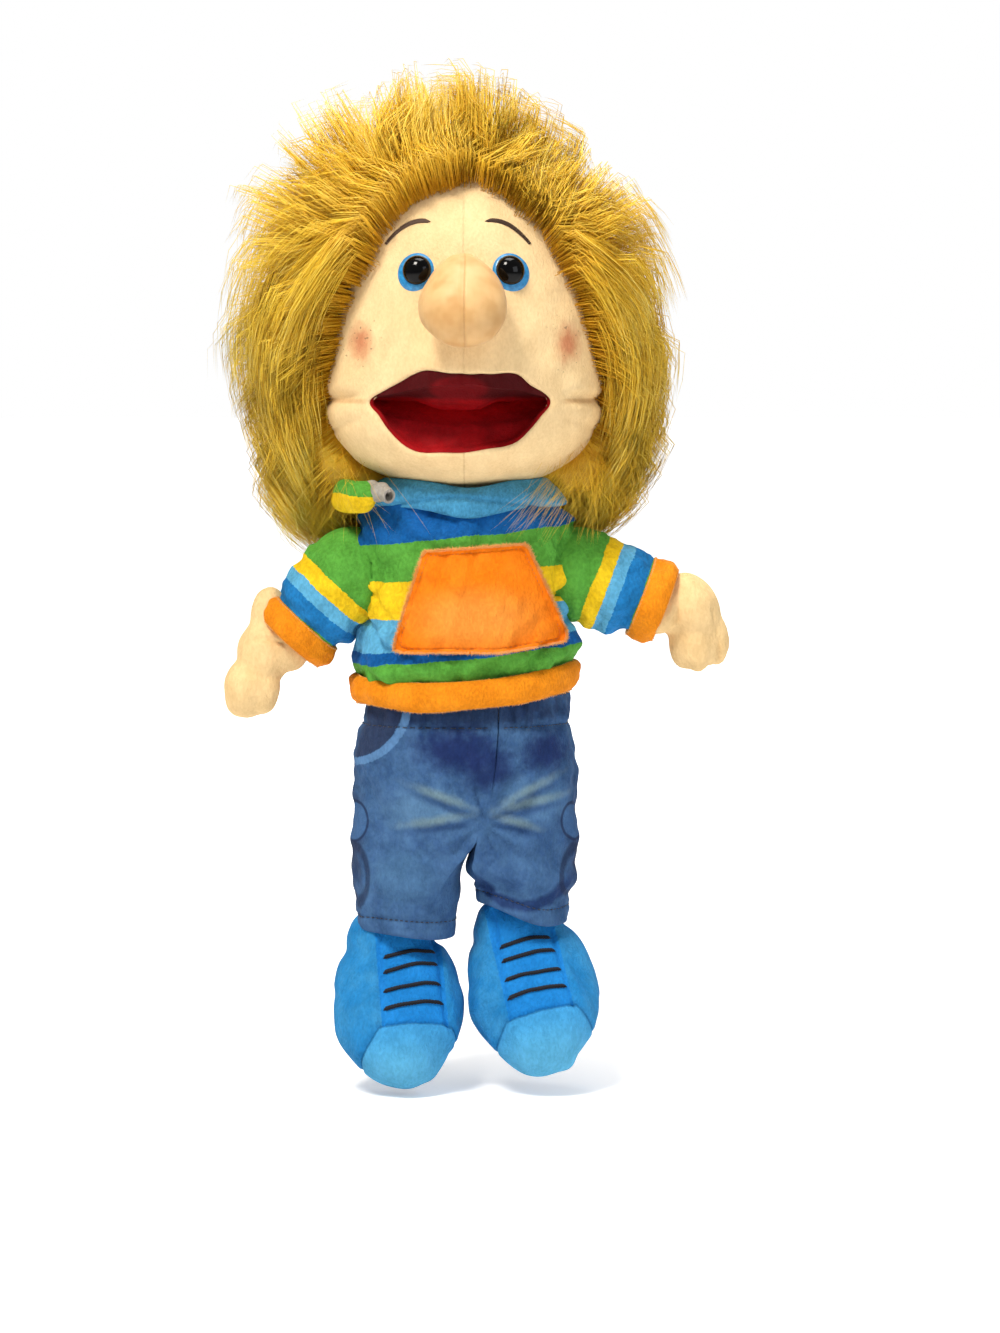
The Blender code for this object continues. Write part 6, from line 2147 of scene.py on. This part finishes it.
def inner_finishes() -> None:
    """Gives the CAD pieces that stay in view from below or inside their real materials."""

    def porous() -> bpy.types.Material:
        """Open-cell foam: matt, faintly yellow, with small pores."""
        made = Finish("foam")
        cells = made.add("TexVoronoi", {"Vector": made.place, "Scale": 1 / (0.9 * MM)}).outputs["Distance"]
        tone = made.mix(made.ease(cells, 0.1, 0.6), colour("D8CBA0"), colour("EFE6C4"))
        return made.finish(tone, made.ease(cells, 0, 1, 0.95, 0.85), cells, 0.3 * MM)

    def card() -> bpy.types.Material:
        """Stiff plastic board: smooth grey with fine scuffs."""
        made = Finish("board")
        scuff = made.noise(1.4 * MM, 4.0, (6, 1, 1))
        tone = made.mix(scuff, colour("3A3A3E"), colour("4A4A50"))
        return made.finish(tone, made.ease(scuff, 0.3, 0.7, 0.4, 0.6), scuff, 0.03 * MM)

    def woven(name: str, dark: str, light: str, pitch: float) -> bpy.types.Material:
        """Plain woven cloth or webbing, with threads over and under each other."""
        made = Finish(name)
        x, y, z = made.axes()
        warp = made.wave(made.sum("ADD", x, y), pitch)
        weft = made.wave(z, pitch)
        cross = made.sum("MULTIPLY", warp, weft)
        tone = made.mix(made.ease(cross, -0.6, 0.6), colour(dark), colour(light))
        return made.finish(tone, made.ease(cross, -1, 1, 0.9, 0.75), cross, 0.12 * MM, Sheen_Weight=0.2)

    def nylon() -> bpy.types.Material:
        """Moulded nylon washer: white and slightly waxy."""
        made = Finish("washer_nylon")
        flow = made.noise(2 * MM, 2.0)
        tone = made.mix(flow, colour("DADAD2"), colour("EDEDE6"))
        return made.finish(tone, made.ease(flow, 0, 1, 0.35, 0.5), flow, 0.03 * MM)

    cotton = woven("cotton", "B9B2A2", "DAD4C6", 0.5 * MM)
    chosen = {
        porous(): ("head_foam", "chin_foam"),
        card(): ("palate_board", "jaw_board"),
        woven("strap_webbing", "1E1E22", "34343A", 0.8 * MM): ("finger_strap", "thumb_strap"),
        cotton: ("neck_tube", "body_sleeve", "arm_tab_left", "arm_tab_right"),
        woven("elastic", "C9C9C4", "E4E4E0", 0.9 * MM): ("waist_elastic",),
        nylon(): ("eye_washer_left", "eye_washer_right"),
        plush_plain("leg_velour", "2A6DA8"): ("leg_left", "leg_right"),
    }
    for name, finish in ((name, finish) for finish, names in chosen.items() for name in names):
        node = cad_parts[name]
        for place in node.material_slots:
            place.link = "OBJECT"
            place.material = finish
        if not node.material_slots:
            node.data.materials.append(finish)


# ---------------------------------------------------------------- studio


class Studio:
    """A pale floor, soft lights and the camera."""

    @dataclass(frozen=True)
    class Size:
        """Driving sizes of the set."""

        floor_z: float = -0.1705
        floor_size: float = 12.0
        distance: float = 1.75
        aim: tuple = (0.0155, AXIS_Y, 0.0165)
        elevation: float = 5.0
        lens: float = 107.0

    def __init__(self, size: Size = Size()) -> None:
        """Keeps the sizes."""
        self.size = size

    def floor(self) -> None:
        """A wide sheet of white paper."""
        size = self.size

        def place(u: np.ndarray, v: np.ndarray) -> np.ndarray:
            turn = u * 2 * math.pi
            reach = size.floor_size * v**2
            return np.stack([reach * np.cos(turn), reach * np.sin(turn), np.full_like(u, size.floor_z)], axis=-1)

        paper = surface("studio_paper", 48, 24, place)
        made = Finish("studio_paper")
        grain = made.noise(0.06, 2.0)
        tone = made.mix(grain, colour("F6F6F6"), colour("FAFAFA"))
        # The paper is burnt out to white for the camera, but does not light the puppet.
        # Far off, where the lamps do not reach, it is lit as evenly as the sky behind it.
        x, y, _ = made.axes()
        reach = made.sum("ADD", made.sum("MULTIPLY", x, x), made.sum("MULTIPLY", y, y))
        even = made.ease(reach, 0.16, 1.4, 0.35, 1.0)
        glow = made.sum("MULTIPLY", made.add("LightPath").outputs["Is Camera Ray"], even)
        matt = made.ease(grain, 0, 1, 0.85, 0.95)
        finish = made.finish(tone, matt, grain, 0.0001, Emission_Color=tone, Emission_Strength=glow)
        paper.data.materials.append(finish)

    def light(self, name: str, place: tuple, size: float, power: float, tint: str = "FFFFFF") -> None:
        """A square soft light that faces the puppet."""
        lamp = bpy.data.lights.new(name, "AREA")
        lamp.size = size
        lamp.energy = power
        lamp.color = colour(tint)[:3]
        made = bpy.data.objects.new(name, lamp)
        made.location = place
        aim = Vector(self.size.aim) - Vector(place)
        made.rotation_euler = aim.to_track_quat("-Z", "Y").to_euler()
        bpy.context.scene.collection.objects.link(made)

    def camera(self) -> None:
        """A long lens a little above the middle of the puppet, without depth of field."""
        size = self.size
        lens = bpy.data.cameras.new("camera")
        lens.lens = size.lens
        lens.sensor_width = 36.0
        lens.clip_end = 50.0
        made = bpy.data.objects.new("camera", lens)
        rise = math.radians(size.elevation)
        back = Vector((0, -math.cos(rise), math.sin(rise)))
        made.location = Vector(size.aim) + back * size.distance
        made.rotation_euler = (-back).to_track_quat("-Z", "Y").to_euler()
        bpy.context.scene.collection.objects.link(made)
        bpy.context.scene.camera = made

    def build(self) -> None:
        """Makes the set."""
        self.floor()
        self.light("key", (-0.7, -1.15, 1.95), 0.60, 52, "FFF8EE")
        self.light("fill", (1.5, -1.5, 0.8), 1.1, 8, "F4F8FF")
        self.light("top", (0.1, 0.1, 1.9), 1.0, 24)
        self.light("rim", (0.4, 1.3, 1.0), 0.9, 7)
        world = bpy.data.worlds.new("studio")
        world.use_nodes = True
        tree = world.node_tree
        sky = tree.nodes["Background"]
        sky.inputs["Color"].default_value = colour("FFFFFF")
        seen = tree.nodes.new("ShaderNodeLightPath")
        level = tree.nodes.new("ShaderNodeMapRange")
        level.inputs["To Min"].default_value, level.inputs["To Max"].default_value = 0.24, 1.0
        tree.links.new(seen.outputs["Is Camera Ray"], level.inputs["Value"])
        tree.links.new(level.outputs["Result"], sky.inputs["Strength"])
        bpy.context.scene.world = world
        self.camera()
        bpy.context.scene.view_settings.view_transform = "Standard"


# ---------------------------------------------------------------- main


def main() -> None:
    """Builds the looks in order."""
    logging.basicConfig(level=logging.INFO, format="%(name)s: %(message)s")
    Face().build()
    log.info("face done")
    Wig().build()
    Jumper().build()
    log.info("jumper done")
    Arm(Side.LEFT, 21).build()
    Arm(Side.RIGHT, 48).build()
    Trousers().build()
    Shoe(Side.LEFT, 12, (0.0235, 0.001 + AXIS_Y, -0.0975), 0.0).build()
    Shoe(Side.RIGHT, -5, (-0.0325, 0.001 + AXIS_Y, -0.1030), 0.0068).build()
    inner_finishes()
    log.info("clothes done")
    Studio().build()


if __name__ == "__main__":
    main()
